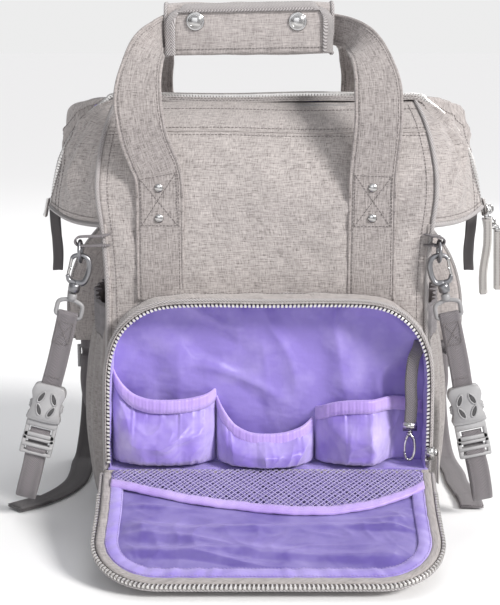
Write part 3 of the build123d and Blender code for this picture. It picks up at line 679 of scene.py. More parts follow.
# ========================================================= front and back cloth
# upright section of each side: (distance of the cloth from y = 0, z, half width)
FRONT = np.array([
    (91, 4, 152), (94.5, 14, 157), (96.5, 60, 158), (97, 120, 158), (97, 226, 156),
    (97, 270, 157.5), (96.5, 300, 160.5), (94.5, 328, 164), (87, 352, 164), (74, 376, 161),
    (54, 395, 157.5), (29, 408, 154), (7.5, 417.2, 151)], float)
BACK = np.array([
    (91, 4, 152), (94.5, 14, 157), (96, 60, 158), (96, 120, 159), (96, 226, 160),
    (96, 270, 163), (96, 300, 167), (94, 335, 181), (89, 366, 194), (78, 395, 198),
    (55, 410, 190), (30, 416, 174), (7.5, 417.2, 151)], float)
# folds pulled into the front cloth: (x, z) of one end, (x, z) of the other, height, width
TENSION = [
    (152, 366, 40, 292, 3.4, 9), (150, 344, 74, 262, -2.8, 8), (154, 318, 104, 246, 3.0, 8),
    (138, 380, 8, 338, -2.6, 8), (60, 360, -30, 300, 2.4, 11), (-152, 368, -66, 318, 3.0, 8),
    (-152, 330, -100, 262, -2.4, 7), (-40, 372, 30, 330, 2.0, 10),
    (-20, 300, -76, 246, 2.2, 10), (30, 290, 70, 240, -1.8, 9)]
SHELL_SEED = {-1: 3, 1: 21}
SHELL_THICK = 3.0
LINING_THICK = 0.8


def tension_folds(x, z):
    total = np.zeros_like(x)
    for x1, z1, x2, z2, height, width in TENSION:
        run, rise = x2 - x1, z2 - z1
        squared = run * run + rise * rise
        share = np.clip(((x - x1) * run + (z - z1) * rise) / squared, 0, 1)
        aside = np.abs((x - x1) * rise - (z - z1) * run) / math.sqrt(squared)
        to_end = np.minimum(np.hypot(x - x1, z - z1), np.hypot(x - x2, z - z2))
        away = np.hypot(aside, np.where((share <= 0) | (share >= 1), to_end, 0))
        total += (height * np.sin(math.pi * (share * 0.92 + 0.08))
                  * np.exp(-(away / width) ** 2))
    return total


def shell_points(side, profile, across, inset=0.0):
    """Cloth grid of one side; across runs -1..1 over its width, inset moves it inward."""
    seed = SHELL_SEED[side]
    front_profile = catmull(FRONT, len(profile))
    grid = np.zeros((len(profile), len(across), 3))
    for i, (depth, z, half_width) in enumerate(profile):
        x = across * half_width
        y = np.full_like(x, depth)
        if side > 0 and z > 300:
            # the middle of the back is pulled in like the front, its corners stand full
            corner = np.abs(across) ** 4
            j = np.argmin(np.abs(front_profile[:, 1] - z))
            y = y * corner + min(front_profile[j, 0], depth) * (1 - corner)
        belly = math.sin(np.clip((z - 20) / 330, 0, 1) * math.pi) * (1 - across ** 2) ** 0.8
        y = y + 3.0 * belly - 2.2 * np.abs(across) ** 10
        loose = np.clip((z - 40) / 120, 0, 1)
        y = y + smooth_noise(x, z, seed, 120) * 1.5 * loose
        y = y + smooth_noise(x, z * 1.6, seed + 4, 46) * 0.7 * loose
        if side < 0 and z > 236:
            y = y + tension_folds(x, z)
        height = z
        if z > 330:
            height = (z + smooth_noise(x, 0, seed + 9, 150) * 1.4 * min(1, (z - 330) / 60)
                      - 2.0 * (1 - across ** 2) * min(1, (z - 330) / 80))
        grid[i] = points(x, side * y, height)
    if inset:
        grid = grid - inset * facing_normals(grid, len(profile) // 3, len(across) // 2, 1, side)
    return grid


PROFILE = {-1: catmull(FRONT, 90), 1: catmull(BACK, 90)}
SHELL = {side: shell_points(side, PROFILE[side], np.linspace(-1, 1, 73)) for side in SIDES}


def shell_edge(side, hand):
    return SHELL[side][:, -1 if hand > 0 else 0]


def nearest_row(side, z):
    return int(np.argmin(np.abs(PROFILE[side][:, 1] - z)))


def shell_cloth():
    for side, word in SIDES.items():
        sheet(word + "_cloth", SHELL[side], SHELL_THICK, "shell", side, word + "_panel",
              word + "_yoke_bands", side=side)


def shell_seams():
    """Piping down the side seams, stitch rows and a raised welt below the top band."""
    for side, word in SIDES.items():
        tubes(word + "_piping",
              [shell_edge(side, hand) + np.array([hand * 0.8, side * 0.6, 0]) for hand in HANDS],
              2.3, "bind", side)
        normals = facing_normals(SHELL[side], 30, 36, 1, side)
        lifted = SHELL[side] + normals * 0.2
        rows = [nearest_row(side, z) for z in ((391, 386) if side < 0 else (391, 386, 300))]
        lines = [(lifted[i], normals[i]) for i in rows]
        lines += [(lifted[8:-2, j], normals[8:-2, j]) for j in (2, -3)]
        lines.append((lifted[-5], normals[-5]))
        seams(word + "_seam_stitches", lines, side)
        tubes(word + "_band_welt", [lifted[nearest_row(side, 388.5)]], 1.0, "shell", side,
              seg=6)


# ------------------------------------------------------ wings of the wide mouth
# crest of the closed mouth beyond the panels, right half: (x, z)
RIDGE = np.array([(151, 417.2), (160, 411), (181, 393.5), (198, 371), (209.5, 347),
                  (218, 326), (223, 309)], float)
WING_FOOT = {-1: 299, 1: 301}            # z where the wing leaves the panel seam


def keep_off_centre(grid, side, gap):
    """Hold the grid at least gap to its own side of y = 0."""
    grid[..., 1] = side * np.maximum(side * grid[..., 1], gap)


def wing_grid(side, hand, rows=60, cols=44, inset=0.0):
    """Rows run down the crest, columns from the crest to the panel seam."""
    foot = nearest_row(side, WING_FOOT[side])
    seam = resample(shell_edge(side, hand)[foot:][::-1], rows)
    crest = catmull(RIDGE, rows)
    crest_y = np.interp(np.linspace(0, 1, rows), [0, 0.5, 1], [7.5, 8.0, 12.0])
    down = np.linspace(0, 1, rows)[:, None]
    across = np.linspace(0, 1, cols)[None, :]
    grid = span(points(hand * crest[:, 0], side * crest_y, crest[:, 1]), seam, across[0])
    hump = np.sin(math.pi * across)
    belly = ((15 if side > 0 else 10) * np.sin(math.pi * across ** 0.9)
             * np.sin(math.pi * down ** 0.75) ** 0.8 + 5.0 * hump * down ** 2)
    ripple = (np.sin((across * 2.6 + down * 1.2) * math.pi * 1.6 + (0.6 if hand > 0 else 2.1))
              * hump * np.sin(math.pi * down) * (4.6 if side < 0 else 4.2))
    u, v = down * 150, across * 90
    wrinkle = (folds(u * 0.55 + v * 0.2, v * 1.1 - u * 0.25, 300 + side * 7 + hand * 3,
                     scale=34, sharp=1.5, warp=10)
               * hump ** 0.7 * np.sin(math.pi * np.clip(down, 0.02, 1)) ** 0.5)
    out = np.array([hand * 0.86, side * 0.32, 0.40])
    grid = grid + out * (belly + ripple + 5.0 * wrinkle)[..., None]
    grid[..., 2] -= 6.0 * hump * down ** 6
    keep_off_centre(grid, side, 6.8)
    return grid - out * inset


WINGS = {(side, hand): wing_grid(side, hand) for side in SIDES for hand in HANDS}


def wings():
    for (side, hand), grid in WINGS.items():
        word, letter = SIDES[side], HANDS[hand]
        sheet(f"{word}_wing_{letter}", grid, 2.4, "shell", side,
              hand < 0 and word + "_wings", side=side * hand)
        tubes(f"{word}_wing_binding_{letter}", [grid[-1] - Z_AXIS], 2.6, "bind", side)
        normals = facing_normals(grid, 30, 22, 0, hand)
        lifted = grid + normals * 0.3
        rows = [(lifted[2:, j], normals[2:, j]) for j in (6, 10)]
        rows.append((lifted[-3], normals[-3]))
        seams(f"{word}_wing_stitch_{letter}", rows, side)


def mouth_linings():
    for side, word in SIDES.items():
        grid = shell_points(side, PROFILE[side][4:-3], np.linspace(-0.975, 0.975, 41), inset=5.0)
        grid[..., 1] -= side * (1 + smooth_noise(grid[..., 0], grid[..., 2], 31, 50))
        sheet(word + "_lining", grid, LINING_THICK, "satin", side, side < 0 and "main_lining",
              side=-1)
        for hand, letter in HANDS.items():
            grid = wing_grid(side, hand, 26, 16, inset=4.6)[1:-1, 1:]
            sheet(f"{word}_wing_lining_{letter}", grid, LINING_THICK, "satin", side)


# ---------------------------------------------------------- side gussets and base
def side_x(y, z):
    """Half width of the gusset: soft belly low down, tucked in towards the mouth."""
    y = np.asarray(y, float)
    edge = np.where(y < 0, np.interp(z, FRONT[:, 1], FRONT[:, 2]),
                    np.interp(z, BACK[:, 1], BACK[:, 2]))
    belly = 7.0 * np.sin(np.clip((z - 5) / 240, 0, 1) * math.pi)
    tuck = -26.0 * np.clip((z - 215) / 90, 0, 1) ** 1.3
    return edge + (belly + tuck) * (1 - np.clip(np.abs(y) / 96.0, 0, 1) ** 2.2)


def gusset_grid(hand):
    """Rows run up the gusset, columns from front to back."""
    z = np.concatenate([np.linspace(4, 20, 4), np.linspace(28, 301, 60)])[:, None]
    share = np.linspace(-1, 1, 81)
    y = share * (np.interp(z, FRONT[:, 1], FRONT[:, 0]) - 1.0)
    x = side_x(y, z) + smooth_noise(y, z, 40 + hand, 70) * 1.6 * (1 - share ** 2)
    loose = (1 - np.abs(share) ** 4) * np.clip((z - 24) / 40, 0, 1)
    broad = folds(y + z * 0.12, z * 0.26, 45 + hand, scale=36, sharp=1.4, warp=10)
    fine = folds(y, z * 0.4, 47 + hand, scale=20, sharp=1.6, warp=6)
    return points(hand * (x + loose * (3.4 * broad + 1.4 * fine - 1.6)), y, z)


def gusset_fold(side, hand, gusset):
    """Folded top of the gusset, reaching up under one wing."""
    foot = WINGS[side, hand][-1][::-1]       # from the panel seam to the crest
    middle = gusset.shape[1] // 2
    half = gusset[-1, :middle + 1] if side < 0 else gusset[-1, middle:][::-1]
    up = np.linspace(0, 1, 12)
    grid = span(resample(half, len(foot)), foot + np.array([-hand * 1.5, 0, -1.5]), up)
    along = np.linspace(0, 1, len(foot))[:, None]
    grid[..., 2] -= 10 * np.sin(math.pi * up) * np.sin(math.pi * along * 0.5) ** 2
    keep_off_centre(grid, side, 0.3)
    sheet(f"{SIDES[side]}_gusset_fold_{HANDS[hand]}", grid, 1.6, "shell", side)


def side_gussets():
    for hand, letter in HANDS.items():
        gusset = gusset_grid(hand)
        sheet("side_gusset_" + letter, gusset, SHELL_THICK, "shell", "bag",
              hand < 0 and "side_panels", side=-hand)
        inner = gusset[3:] * np.array([1, 0.94, 1]) - X_AXIS * hand * 5.0
        sheet("side_lining_" + letter, inner, LINING_THICK, "satin", "bag", side=hand)
        for side in SIDES:
            gusset_fold(side, hand, gusset)


BASE_LENGTH, BASE_DEPTH, BASE_CORNER = 314, 186, 14
BASE_RINGS = [(0.0, 0.96), (0.6, 0.985), (3.0, 1.0), (7.0, 1.0)]   # (z, scale of outline)


def base():
    outline = rounded_rect(0, 0, BASE_LENGTH, BASE_DEPTH, BASE_CORNER, steps=8)
    verts = np.vstack([points(*(outline * scale).T, z) for z, scale in BASE_RINGS])
    mesh_object("base_cloth", verts, ring_faces(len(BASE_RINGS), len(outline)), verts[:, :2],
                "shell_painted_shade", "bag", "base_panel")
    outline = rounded_rect(0, 0, BASE_LENGTH + 3, BASE_DEPTH + 3, BASE_CORNER + 1, steps=8)
    tubes("base_piping", [points(*outline.T, 6.0)], 2.4, "bind", "bag", closed=True)


SIDE_POCKET_FOOT, SIDE_POCKET_TOP = 8, 196.0


def side_pockets():
    """Pleated side pockets with wide webbing round the mouth."""
    for hand, letter in HANDS.items():
        z = np.linspace(SIDE_POCKET_FOOT, SIDE_POCKET_TOP, 34)[:, None]
        rise = (z - SIDE_POCKET_FOOT) / (SIDE_POCKET_TOP - SIDE_POCKET_FOOT)
        share = np.linspace(0, 1, 61)
        y = -89 + 178 * share
        arch = np.sin(math.pi * share)
        depth = 10 + 17 * np.sin(math.pi * (rise * 0.62 + 0.30))
        pleat = ((2.6 * rise + 0.6) * arch ** 0.5
                 * np.cos(2 * math.pi * (share * 8.0 + 0.15 * np.sin(rise * 4))))
        x = side_x(y, z) - 1.5 + depth * arch ** 0.42 + pleat
        grid = points(hand * x, y + 1.2 * np.sin(2 * math.pi * share * 3 + rise * 5), z)
        sheet("side_pocket_" + letter, grid, 1.8, "shell_painted_shade", "bag",
              hand < 0 and "side_pockets", side=-hand)
        mouth = catmull(grid[-1][::3], 90)
        mouth[:, 2] = SIDE_POCKET_TOP + 6
        out = X_AXIS * hand
        strap("side_pocket_band_" + letter, mouth + out * 1.4, Z_AXIS, 38, 1.8, "web", "bag")
        seams("side_pocket_stitch_" + letter,
              [(mouth + out * 2.5 + Z_AXIS * rise_by, out) for rise_by in (16, -16)],
              "bag", slot="webbing")


# ================================================================= main zipper
def mouth_line():
    """The whole zip line over the mouth, from left tip to right tip, as (x, z)."""
    x = np.linspace(-125, 125, 9)
    crown = np.c_[x, 417.2 + 0.9 * np.sin(x / 31.0) - 2.0 * (1 - (x / 151) ** 2)]
    return catmull(np.vstack([RIDGE[::-1] * (-1, 1), crown, RIDGE]), 420)


ZIP_LINE, ZIP_OUT = upright_curve(mouth_line())
# the two halves part slightly as they run down the wings
ZIP_GAP = 0.7 + np.maximum(350 - ZIP_LINE[:, 2], 0) * 0.055
# the tapes stand up like a fin, and lie down at the tips
ZIP_FIN = np.interp(np.abs(np.linspace(-1, 1, len(ZIP_LINE))), [0, 0.84, 0.965, 1.0],
                    [1.0, 1.0, 0.0, 0.0])
MAIN_TOOTH_PITCH = 2.9


def main_zip_teeth(side):
    count = int(length_of(ZIP_LINE) / MAIN_TOOTH_PITCH) * 2
    line = resample(ZIP_LINE, count)
    out = unit(resample(ZIP_OUT, count))
    along = tangents(line)
    places, stations = np.linspace(0, 1, count), np.linspace(0, 1, len(ZIP_LINE))
    gap = np.interp(places, stations, ZIP_GAP)
    fin = np.interp(places, stations, ZIP_FIN)
    batch = Batch()
    for i in range(0 if side < 0 else 1, count, 2):
        centre = line[i] + out[i] * (1.35 + 5.65 * fin[i]) + Y_AXIS * side * (gap[i] + 0.8)
        batch.box(centre, along[i], Y_AXIS * 2.5, out[i] * (1.1 + fin[i]), 0.35)
    batch.build("zip_teeth_" + SIDES[side], "teeth", SIDES[side] + "_jaw", smooth=False)


def main_zip():
    for side, word in SIDES.items():
        jaw = word + "_jaw"
        width = np.interp(ZIP_LINE[:, 2], [300, 345, 420], [13.5, 11.0, 11.0])[:, None]
        inner = ZIP_GAP[:, None] + 0.9
        share = np.linspace(0, 1, 7)
        rise = 5.6 * (1 - share) ** 1.25 * ZIP_FIN[:, None] + 0.6
        grid = (ZIP_LINE[:, None] + ZIP_OUT[:, None] * rise[..., None]
                + points(0, side * (inner + (width - inner) * share), 0))
        sheet("zip_tape_" + word, grid, 1.0, "tape", jaw, "main_zip_" + word, side=side)
        main_zip_teeth(side)
        out = ZIP_OUT[6:-6]
        seams("zip_tape_stitch_" + word, [(grid[6:-6, j] + out * 0.35, out) for j in (3, 5)],
              jaw, "zip", "thread_dark")


TAIL_LENGTH = {-1: 16, 1: 31}
TAB_X = {-1: 217.0, 1: 212.0}
# folded end tab: (x beyond TAB_X, y, z)
END_TAB = [(3, -3.5, 305), (2, -3.5, 285), (0, -2.5, 262), (1, -1.5, 243), (2, 2.5, 241),
           (1.5, 4.0, 256), (3, 3.5, 296)]


def tail_axes(hand):
    """Directions down along the zip tail and out from the bag."""
    return np.array([hand * 0.2, 0, -0.9798]), np.array([hand * 0.9798, 0, 0.2])


def tail_point(hand, along, out=0.0, y=0.0):
    down, outward = tail_axes(hand)
    return np.array([hand * 226, y, 312]) + down * along + outward * out


def zip_tails():
    """Closed chain beyond the wing tips, with end tabs of folded webbing."""
    for hand, letter in HANDS.items():
        length = TAIL_LENGTH[hand]
        path = np.array([tail_point(hand, a) for a in np.linspace(-3, length, 16)])
        strap("zip_tail_tape_" + letter, path, Y_AXIS, 14, 1.4, "tape", "front_jaw")
        down, out = tail_axes(hand)
        batch = Batch()
        for k, along in enumerate(np.arange(-2, length - 2, 1.25)):
            batch.box(tail_point(hand, along, 1.3, 1.3 if k % 2 else -1.3), down * 0.78,
                      Y_AXIS * 2.1, out * 1.2, 0.25)
        batch.box(tail_point(hand, length - 2.2, 1.3), down * 1.8, Y_AXIS * 4.2, out * 1.6, 0.3)
        batch.build("zip_tail_teeth_" + letter, "teeth", "front_jaw", smooth=False)
        path = catmull([(hand * (TAB_X[hand] + x), y, z) for x, y, z in END_TAB], 60)
        strap("zip_end_tab_" + letter, path, X_AXIS, 10.5, 1.6, "webdark", "front_jaw",
              hand < 0 and "zip_end_tabs")


# ======================================================================= handles
# path of each front handle strap, from the bag up to the grip; mirrored in y for the back
HANDLE_PATHS = {
    -1: [(-104, -98.5, 226), (-104, -98.8, 290), (-104, -98.8, 330), (-105.5, -98.8, 350),
         (-112, -100, 367), (-118, -102, 384), (-121.5, -103, 402), (-124.0, -98, 422),
         (-123, -83, 443), (-117.5, -56, 467), (-108, -27, 482), (-99, -11, 488),
         (-90, -9, 490)],
    1: [(102, -98.5, 226), (102, -98.8, 290), (102, -98.8, 330), (102.5, -98.8, 350),
        (104, -100, 367), (105.5, -102, 384), (106.5, -103, 402), (106.5, -98, 422),
        (105.5, -83, 443), (99, -56, 466), (87, -27, 481), (72, -11, 487), (58, -9, 489)]}
HANDLE_FOOT = {-1: 0, 1: 300}            # a side's straps start above this z


def handle(name, side, hand):
    path = catmull([p for p in HANDLE_PATHS[hand] if p[2] > HANDLE_FOOT[side]], 150)
    share = distances(path)
    share = share / share[-1]
    # the strap turns from lying against the bag to standing in the grip
    turn = smoothstep(np.clip((share - 0.72) / 0.24, 0, 1)[:, None])
    across = unit(X_AXIS * (1 - turn) + Z_AXIS * hand * turn)
    width = np.interp(share, [0, 0.62, 0.78, 0.9, 1], [46, 45, 37, 30, 28])
    path, across = path * (1, -side, 1), across * (1, -side, 1)
    strap(name, path, across, width, 3.2, "strapcloth", "bag")

    across, face = strap_axes(path, across)
    if face[10, 1] * side < 0:
        face = -face
    half = width[:, None] / 2
    batch = Batch()
    for edge in (-1, 1):
        for lift in (1, -1):
            row = path + across * (half - 4.0) * edge + face * 1.5 * lift
            batch.stitches(row[2:-4], face[2:-4] * lift, "handle")
    # cross-and-box sewing below the arch
    low, high = (int(np.argmin(np.abs(path[:60, 2] - z))) for z in (300, 348))
    corners = [path[i] + across[i] * edge * 17.5
               for i, edge in ((low, -1), (low, 1), (high, 1), (high, -1))]
    for i, j in ((0, 1), (1, 2), (2, 3), (3, 0), (0, 2), (1, 3)):
        batch.stitches(np.linspace(corners[i], corners[j], 12) + face[low] * 1.65, face[low],
                       "handle_box")
    batch.build(name + "_stitches", "thread", "bag", slot="webbing")
    tubes(name + "_edges", [(path + across * (half - 1.0) * edge)[::2] for edge in (-1, 1)],
          1.9, "strapcloth", "bag")


RIVET = [(4.4, 0), (4.4, 0.8), (3.9, 1.5), (2.6, 2.1), (1.0, 2.35), (0.1, 2.4)]


def handles():
    for side, word in SIDES.items():
        for hand, name in ((-1, "left"), (1, "right")):
            handle(f"handle_{word}_{name}", side, hand)
        strap(f"handle_{word}_grip_run", points(np.linspace(-92, 60, 20), side * 9.0, 489.5),
              Z_AXIS, 30, 3.0, "web", "bag", "handle_" + word)
    batch = Batch()
    for x in (-104.5, 102):
        for z in (307.5, 337):
            batch.lathe((x, -100.4, z), -Y_AXIS, RIVET)
        batch.lathe((x, 100.4, 339), Y_AXIS, RIVET)
    batch.build("rivet_heads", "chrome", "bag", "handle_rivets")


# ------------------------------------------------------------------ padded grip
GRIP_LEFT, GRIP_RIGHT = -101, 66
GRIP_MIDDLE = (GRIP_LEFT + GRIP_RIGHT) / 2
GRIP_HALF = (GRIP_RIGHT - GRIP_LEFT) / 2
# section of the padded cover round the joined handles: (y, z)
GRIP_SECTION = [(-19.5, 480), (-20.5, 497), (-18.5, 509), (-10, 514), (6, 514.5), (17, 510),
                (22, 498), (22.5, 480), (19, 467), (8, 462.5), (-8, 462.2), (-20, 462.8)]
FLAP_FOOT = 463                          # z of the grip flap's lower edge
# turned snap cap: (radius, height)
SNAP_CAP = [(9.2, 0), (9.4, 1.0), (9.0, 2.0), (8.2, 2.3), (7.9, 2.1), (6.6, 3.0), (4.4, 3.9),
            (2.2, 4.3), (0.2, 4.4)]
SNAP_X, SNAP_Z = (-71, 31), 495


def grip_wrap():
    x = np.linspace(GRIP_LEFT, GRIP_RIGHT, 48)
    share = (x - GRIP_LEFT) / (GRIP_RIGHT - GRIP_LEFT)
    y, z = catmull(GRIP_SECTION, 60).T[:, :, None]
    soft = 1 - 0.035 * np.abs(2 * share - 1) ** 8
    around = np.arange(60)[:, None] * 2.0
    grid = points(x, y * soft + smooth_noise(x, around, 51, 40) * 0.5,
                  488 + (z - 488) * soft + smooth_noise(x, around, 52, 50) * 0.6
                  + 1.5 * (share - 0.5))
    sheet("grip_body", grid, 2.4, "pad", "bag", "grip_wrap", side=-1)
    tubes("grip_end_binding", [grid[:, 0], grid[:, -1]], 2.0, "bind", "bag")


def grip_flap():
    """Padded flap on the front of the grip, bound on its two ends and its top."""
    x = np.linspace(GRIP_LEFT, GRIP_RIGHT, 52)
    up = (1 - (1 - np.linspace(0, 1, 30)) ** 1.7)[:, None]
    u = (x - GRIP_MIDDLE) / GRIP_HALF
    # the upper corners are rounded, and the flap narrows towards its top
    corner = np.sqrt(1 - np.clip((np.abs(u) - 0.90) / 0.10, 0, 1) ** 2 * 0.9)
    narrow = 1 - 0.19 * (1 - np.sqrt(1 - np.clip((up - 0.62) / 0.38, 0, 1) ** 2))
    puff = 4.6 * (1 - np.abs(u) ** 6) * np.sin(math.pi * (up * 0.9 + 0.08)) ** 0.55
    grid = points(GRIP_MIDDLE + (x - GRIP_MIDDLE) * narrow,
                  -23.4 - puff + smooth_noise(x, up * 50, 61, 34) * 0.5,
                  FLAP_FOOT + (50 * up + 1.5 * u) * (1 - (1 - corner) * 0.16 * up))
    sheet("grip_flap_cloth", grid, 2.6, "pad", "grip_cover", "grip_flap", side=-1)
    rim = np.vstack([resample(grid[:, 0], 70), resample(grid[-1], 120)[1:-1],
                     resample(grid[::-1, -1], 70)])
    inner = np.vstack([resample(grid[:-10, 3], 70), resample(grid[-11, 3:-3], 120)[1:-1],
                       resample(grid[:-10, -4][::-1], 70)])
    share = np.linspace(0, 1, 6)
    binding = span(rim, inner, share) - Y_AXIS
    binding[..., 1] -= 0.9 * np.sin(math.pi * share)
    sheet("grip_flap_binding", binding, 1.6, "bind", "grip_cover", swap_uv=True)
    seams("grip_flap_stitch", [(binding[:, -2] - Y_AXIS * 0.5, -Y_AXIS),
                               (grid[2] - Y_AXIS * 0.3, -Y_AXIS)],
          "grip_cover", "edge", slot="pad_fabric")


def snap_domes():
    batch = Batch()
    for x in SNAP_X:
        batch.lathe((x, -27.2, SNAP_Z), -Y_AXIS, SNAP_CAP, 32)
    angles = full_turn(32)
    for x in SNAP_X:
        batch.tube(points(x + 6.2 * np.cos(angles), -30.1, SNAP_Z + 6.2 * np.sin(angles)),
                   0.5, seg=6, closed=True)
    batch.build("snap_domes", "chrome", "grip_cover", "snap_caps")


# ======================================================= front organiser pocket
# outline of the pocket over the front, from lower left to lower right: (x, z)
ARCH = np.array([
    (-157, 62), (-157, 90), (-156.5, 130), (-155, 165), (-149, 190), (-138, 208), (-120, 222),
    (-98, 229), (-60, 231), (0, 230.5), (60, 231), (100, 229.5), (124, 222), (142, 207),
    (153, 188), (158, 165), (159, 130), (159, 90), (158, 62)], float)
ARCH_LINE, ARCH_OUT = upright_curve(catmull(ARCH, 220))


def pocket_gusset():
    y = np.linspace(-95.5, -132.5, 16)
    share = np.linspace(0, 1, 16)
    along = np.arange(220)[:, None] * 2.6
    hump = np.sin(math.pi * share)
    swell = (4.2 * np.sin(math.pi * share ** 0.9) + smooth_noise(along, y, 71, 42) * 1.5 * hump
             + smooth_noise(along, y, 72, 15) * 0.5 * hump)
    grid = extrude(ARCH_LINE, y) + ARCH_OUT[:, None] * swell[..., None]
    sheet("pocket_gusset_cloth", grid, 2.6, "shell", "bag", "pocket_gusset", side=-1)
    inner = extrude(ARCH_LINE - ARCH_OUT * 3.2, np.linspace(-98, -134, 10))
    ripple = smooth_noise(inner[..., 0], inner[..., 2], 75, 30) * 0.6
    sheet("pocket_gusset_lining", inner - ARCH_OUT[:, None] * ripple[..., None],
          LINING_THICK, "satin", "bag", side=-1)
    batch = Batch()
    batch.tube(ARCH_LINE + ARCH_OUT * 1.2 - Y_AXIS * 96.5, 2.6)
    batch.tube(ARCH_LINE + ARCH_OUT * 1.4 - Y_AXIS * 131.8, 2.0)
    batch.build("pocket_piping", "bind", "bag")
    out = ARCH_OUT[4:-4]
    seams("pocket_gusset_stitch", [(grid[4:-4, j] + out * 0.3, out) for j in (3, 13)], "bag")


def pocket_zip():
    """The half of the pocket zip on the gusset's front edge."""
    line, out = ARCH_LINE[4:-4], ARCH_OUT[4:-4]
    sheet("pocket_zip_tape", extrude(line - out * 0.4, np.linspace(-131.5, -137.2, 5)), 0.9,
          "tape", "bag", "pocket_zip")
    batch = Batch()
    batch.teeth(line - out * 2.6 - Y_AXIS * 134.7, out, -Y_AXIS, shift=0.0,
                half_across=2.2, half_out=1.8)
    batch.build("pocket_zip_teeth", "teeth", "bag", smooth=False)


def pocket_lining():
    """Satin back wall and floor, and the grey welt under the fold line."""
    span_x = np.linspace(-155, 156, 140)
    z = np.linspace(64, 229, 80)[:, None]
    left_half, right_half = ARCH_LINE[:110], ARCH_LINE[:109:-1]
    left = np.interp(z, left_half[:, 2], left_half[:, 0])
    right = np.interp(z, right_half[:, 2], right_half[:, 0])
    x = left + 3 + (right - left - 6) * (span_x - span_x[0]) / (span_x[-1] - span_x[0])
    broad = folds(x * 0.8 + z * 0.5, z * 0.55 - x * 0.25, 83, scale=88, sharp=1.3, warp=22)
    fine = folds(x, z * 0.6, 86, scale=46, sharp=1.4, warp=9)
    y = -104.2 + smooth_noise(x, z, 81, 60) * 1.6 - 5.0 * broad - 0.7 * fine
    sheet("pocket_back_lining", points(x, y, z), 0.9, "satin", "bag", "pocket_backing")
    y = np.linspace(-98, -137, 12)[:, None]
    z = (66.5 + smooth_noise(span_x, y, 85, 30) * 0.8 - np.linspace(0, 1, 12)[:, None])
    sheet("pocket_floor_lining", points(span_x * 1.005 + 0.5, y, z), 2.0, "satin", "bag")
    x = np.linspace(-158, 158, 80)
    tubes("pocket_hinge_welt", [points(x, -137.5, 62.5 + 0.5 * np.sin(x / 23))], 2.6, "shell",
          "bag")


# gathered pockets: left x, right x, mouth z at left, middle and right, bulge, noise seed
POCKETS = [(-154, -50.3, 162, 131, 137, 52, 91), (-50.3, 47.3, 131, 97, 110, 55, 92),
           (47.3, 154, 118, 131, 124, 52, 93)]
# mouth curve: (share of width, share of the way from left z to middle z, then to right z)
MOUTH_LEFT = [(0, 0), (0.07, 0.34), (0.18, 0.74), (0.34, 0.96), (0.5, 1)]
MOUTH_RIGHT = [(0.68, 0.06), (0.84, 0.34), (0.94, 0.7), (1, 1)]
POCKET_WALL_Y = -101.5
POCKET_FOOT = 67.4
# elastic binding folded over a mouth: a (y, z) foot in front, an arc over, a foot behind
ELASTIC_FOLD = ([(-3.0, -10.5), (-3.3, -5.25)]
                + [(-1.9 * 1.15 * math.cos(a), 2.1 * 0.9 * math.sin(a))
                   for a in np.linspace(0, math.pi, 7)]
                + [(2.1, -5.25), (1.9, -10.5)])


def gathered(x_left, x_right, z_left, z_middle, z_right, bulge, seed, cols=141, rows=64):
    """Bulging satin pocket whose cloth is gathered by elastic along its mouth."""
    width = x_right - x_left
    share = np.linspace(0, 1, cols)
    mouth = catmull([(s, z_left + (z_middle - z_left) * k) for s, k in MOUTH_LEFT]
                    + [(s, z_middle + (z_right - z_middle) * k) for s, k in MOUTH_RIGHT], cols)
    mouth_z = np.interp(share, mouth[:, 0], mouth[:, 1])
    phase = np.random.default_rng(seed).uniform(0, 6.28, 5)

    def wave(cycles, k, place=share):
        return np.sin(2 * math.pi * place * cycles + phase[k])

    # every gather runs its own length down from the elastic
    reach = (0.07 + 0.20 * (0.5 + 0.5 * wave(4.3, 0)) * (0.5 + 0.5 * wave(9.7, 1))
             + 0.03 * wave(17, 2))
    reach = np.clip(reach, 0.05, 0.3)
    arc = np.sin(math.pi * share) ** 0.36
    inside = np.clip(np.sin(math.pi * share) * 3, 0, 1)

    up = np.linspace(0, 1, rows)[:, None] ** 0.92
    z = POCKET_FOOT + (mouth_z - POCKET_FOOT) * up
    roll = np.sqrt(1 - (1 - np.minimum(1, up / 0.15)) ** 2)
    neck = 0.5 - 0.5 * np.cos(math.pi * np.clip((up - 0.42) / 0.50, 0, 1))
    fat = 30.5 + (bulge - 30.5) * roll * (1 - 0.80 * neck)
    drift = share + 0.012 * np.sin(up * 4 + phase[0]) + 0.02 * (1 - up) * wave(1, 1)
    gathers = wave(11, 2, drift) + 0.65 * wave(18, 3, drift)
    at_mouth = np.exp(-(1 - up) / reach)
    at_foot = np.maximum(0, (0.16 - up) / 0.16) ** 1.3
    height = z - 67
    radial = (share - 0.5) * width * (0.62 + 0.55 * (1 - up))
    body = np.sin(math.pi * (up * 0.94 + 0.05))
    swag = smooth_noise(share * width, height, seed + 3, 44) * 2.6
    crease = 6.5 * folds(radial * 0.85 + height * 0.25, height * 0.42 - radial * 0.25, seed + 5,
                         scale=46, sharp=1.25, warp=13)
    crease += 1.1 * folds(radial - height * 0.55, height * 0.6 + radial * 0.35, seed + 8,
                          scale=30, sharp=1.35, warp=9)
    out = ((fat - 7.0) * arc + inside * (gathers * (1.5 * at_mouth + 0.8 * at_foot)
                                         + (swag + crease) * body))
    x = x_left + width * share + inside * np.cos(2 * math.pi * drift * 7 + phase[4]) * 0.7 * up
    if x_right > 100:
        # lies flatter on the right, behind the key leash
        out = out * (1 - 0.74 * smoothstep(np.clip((x - 100) / 28, 0, 1)))
    y = np.minimum(np.maximum(POCKET_WALL_Y - out, POCKET_WALL_Y - bulge - 4.0), -102.2)
    return points(x, y, z)


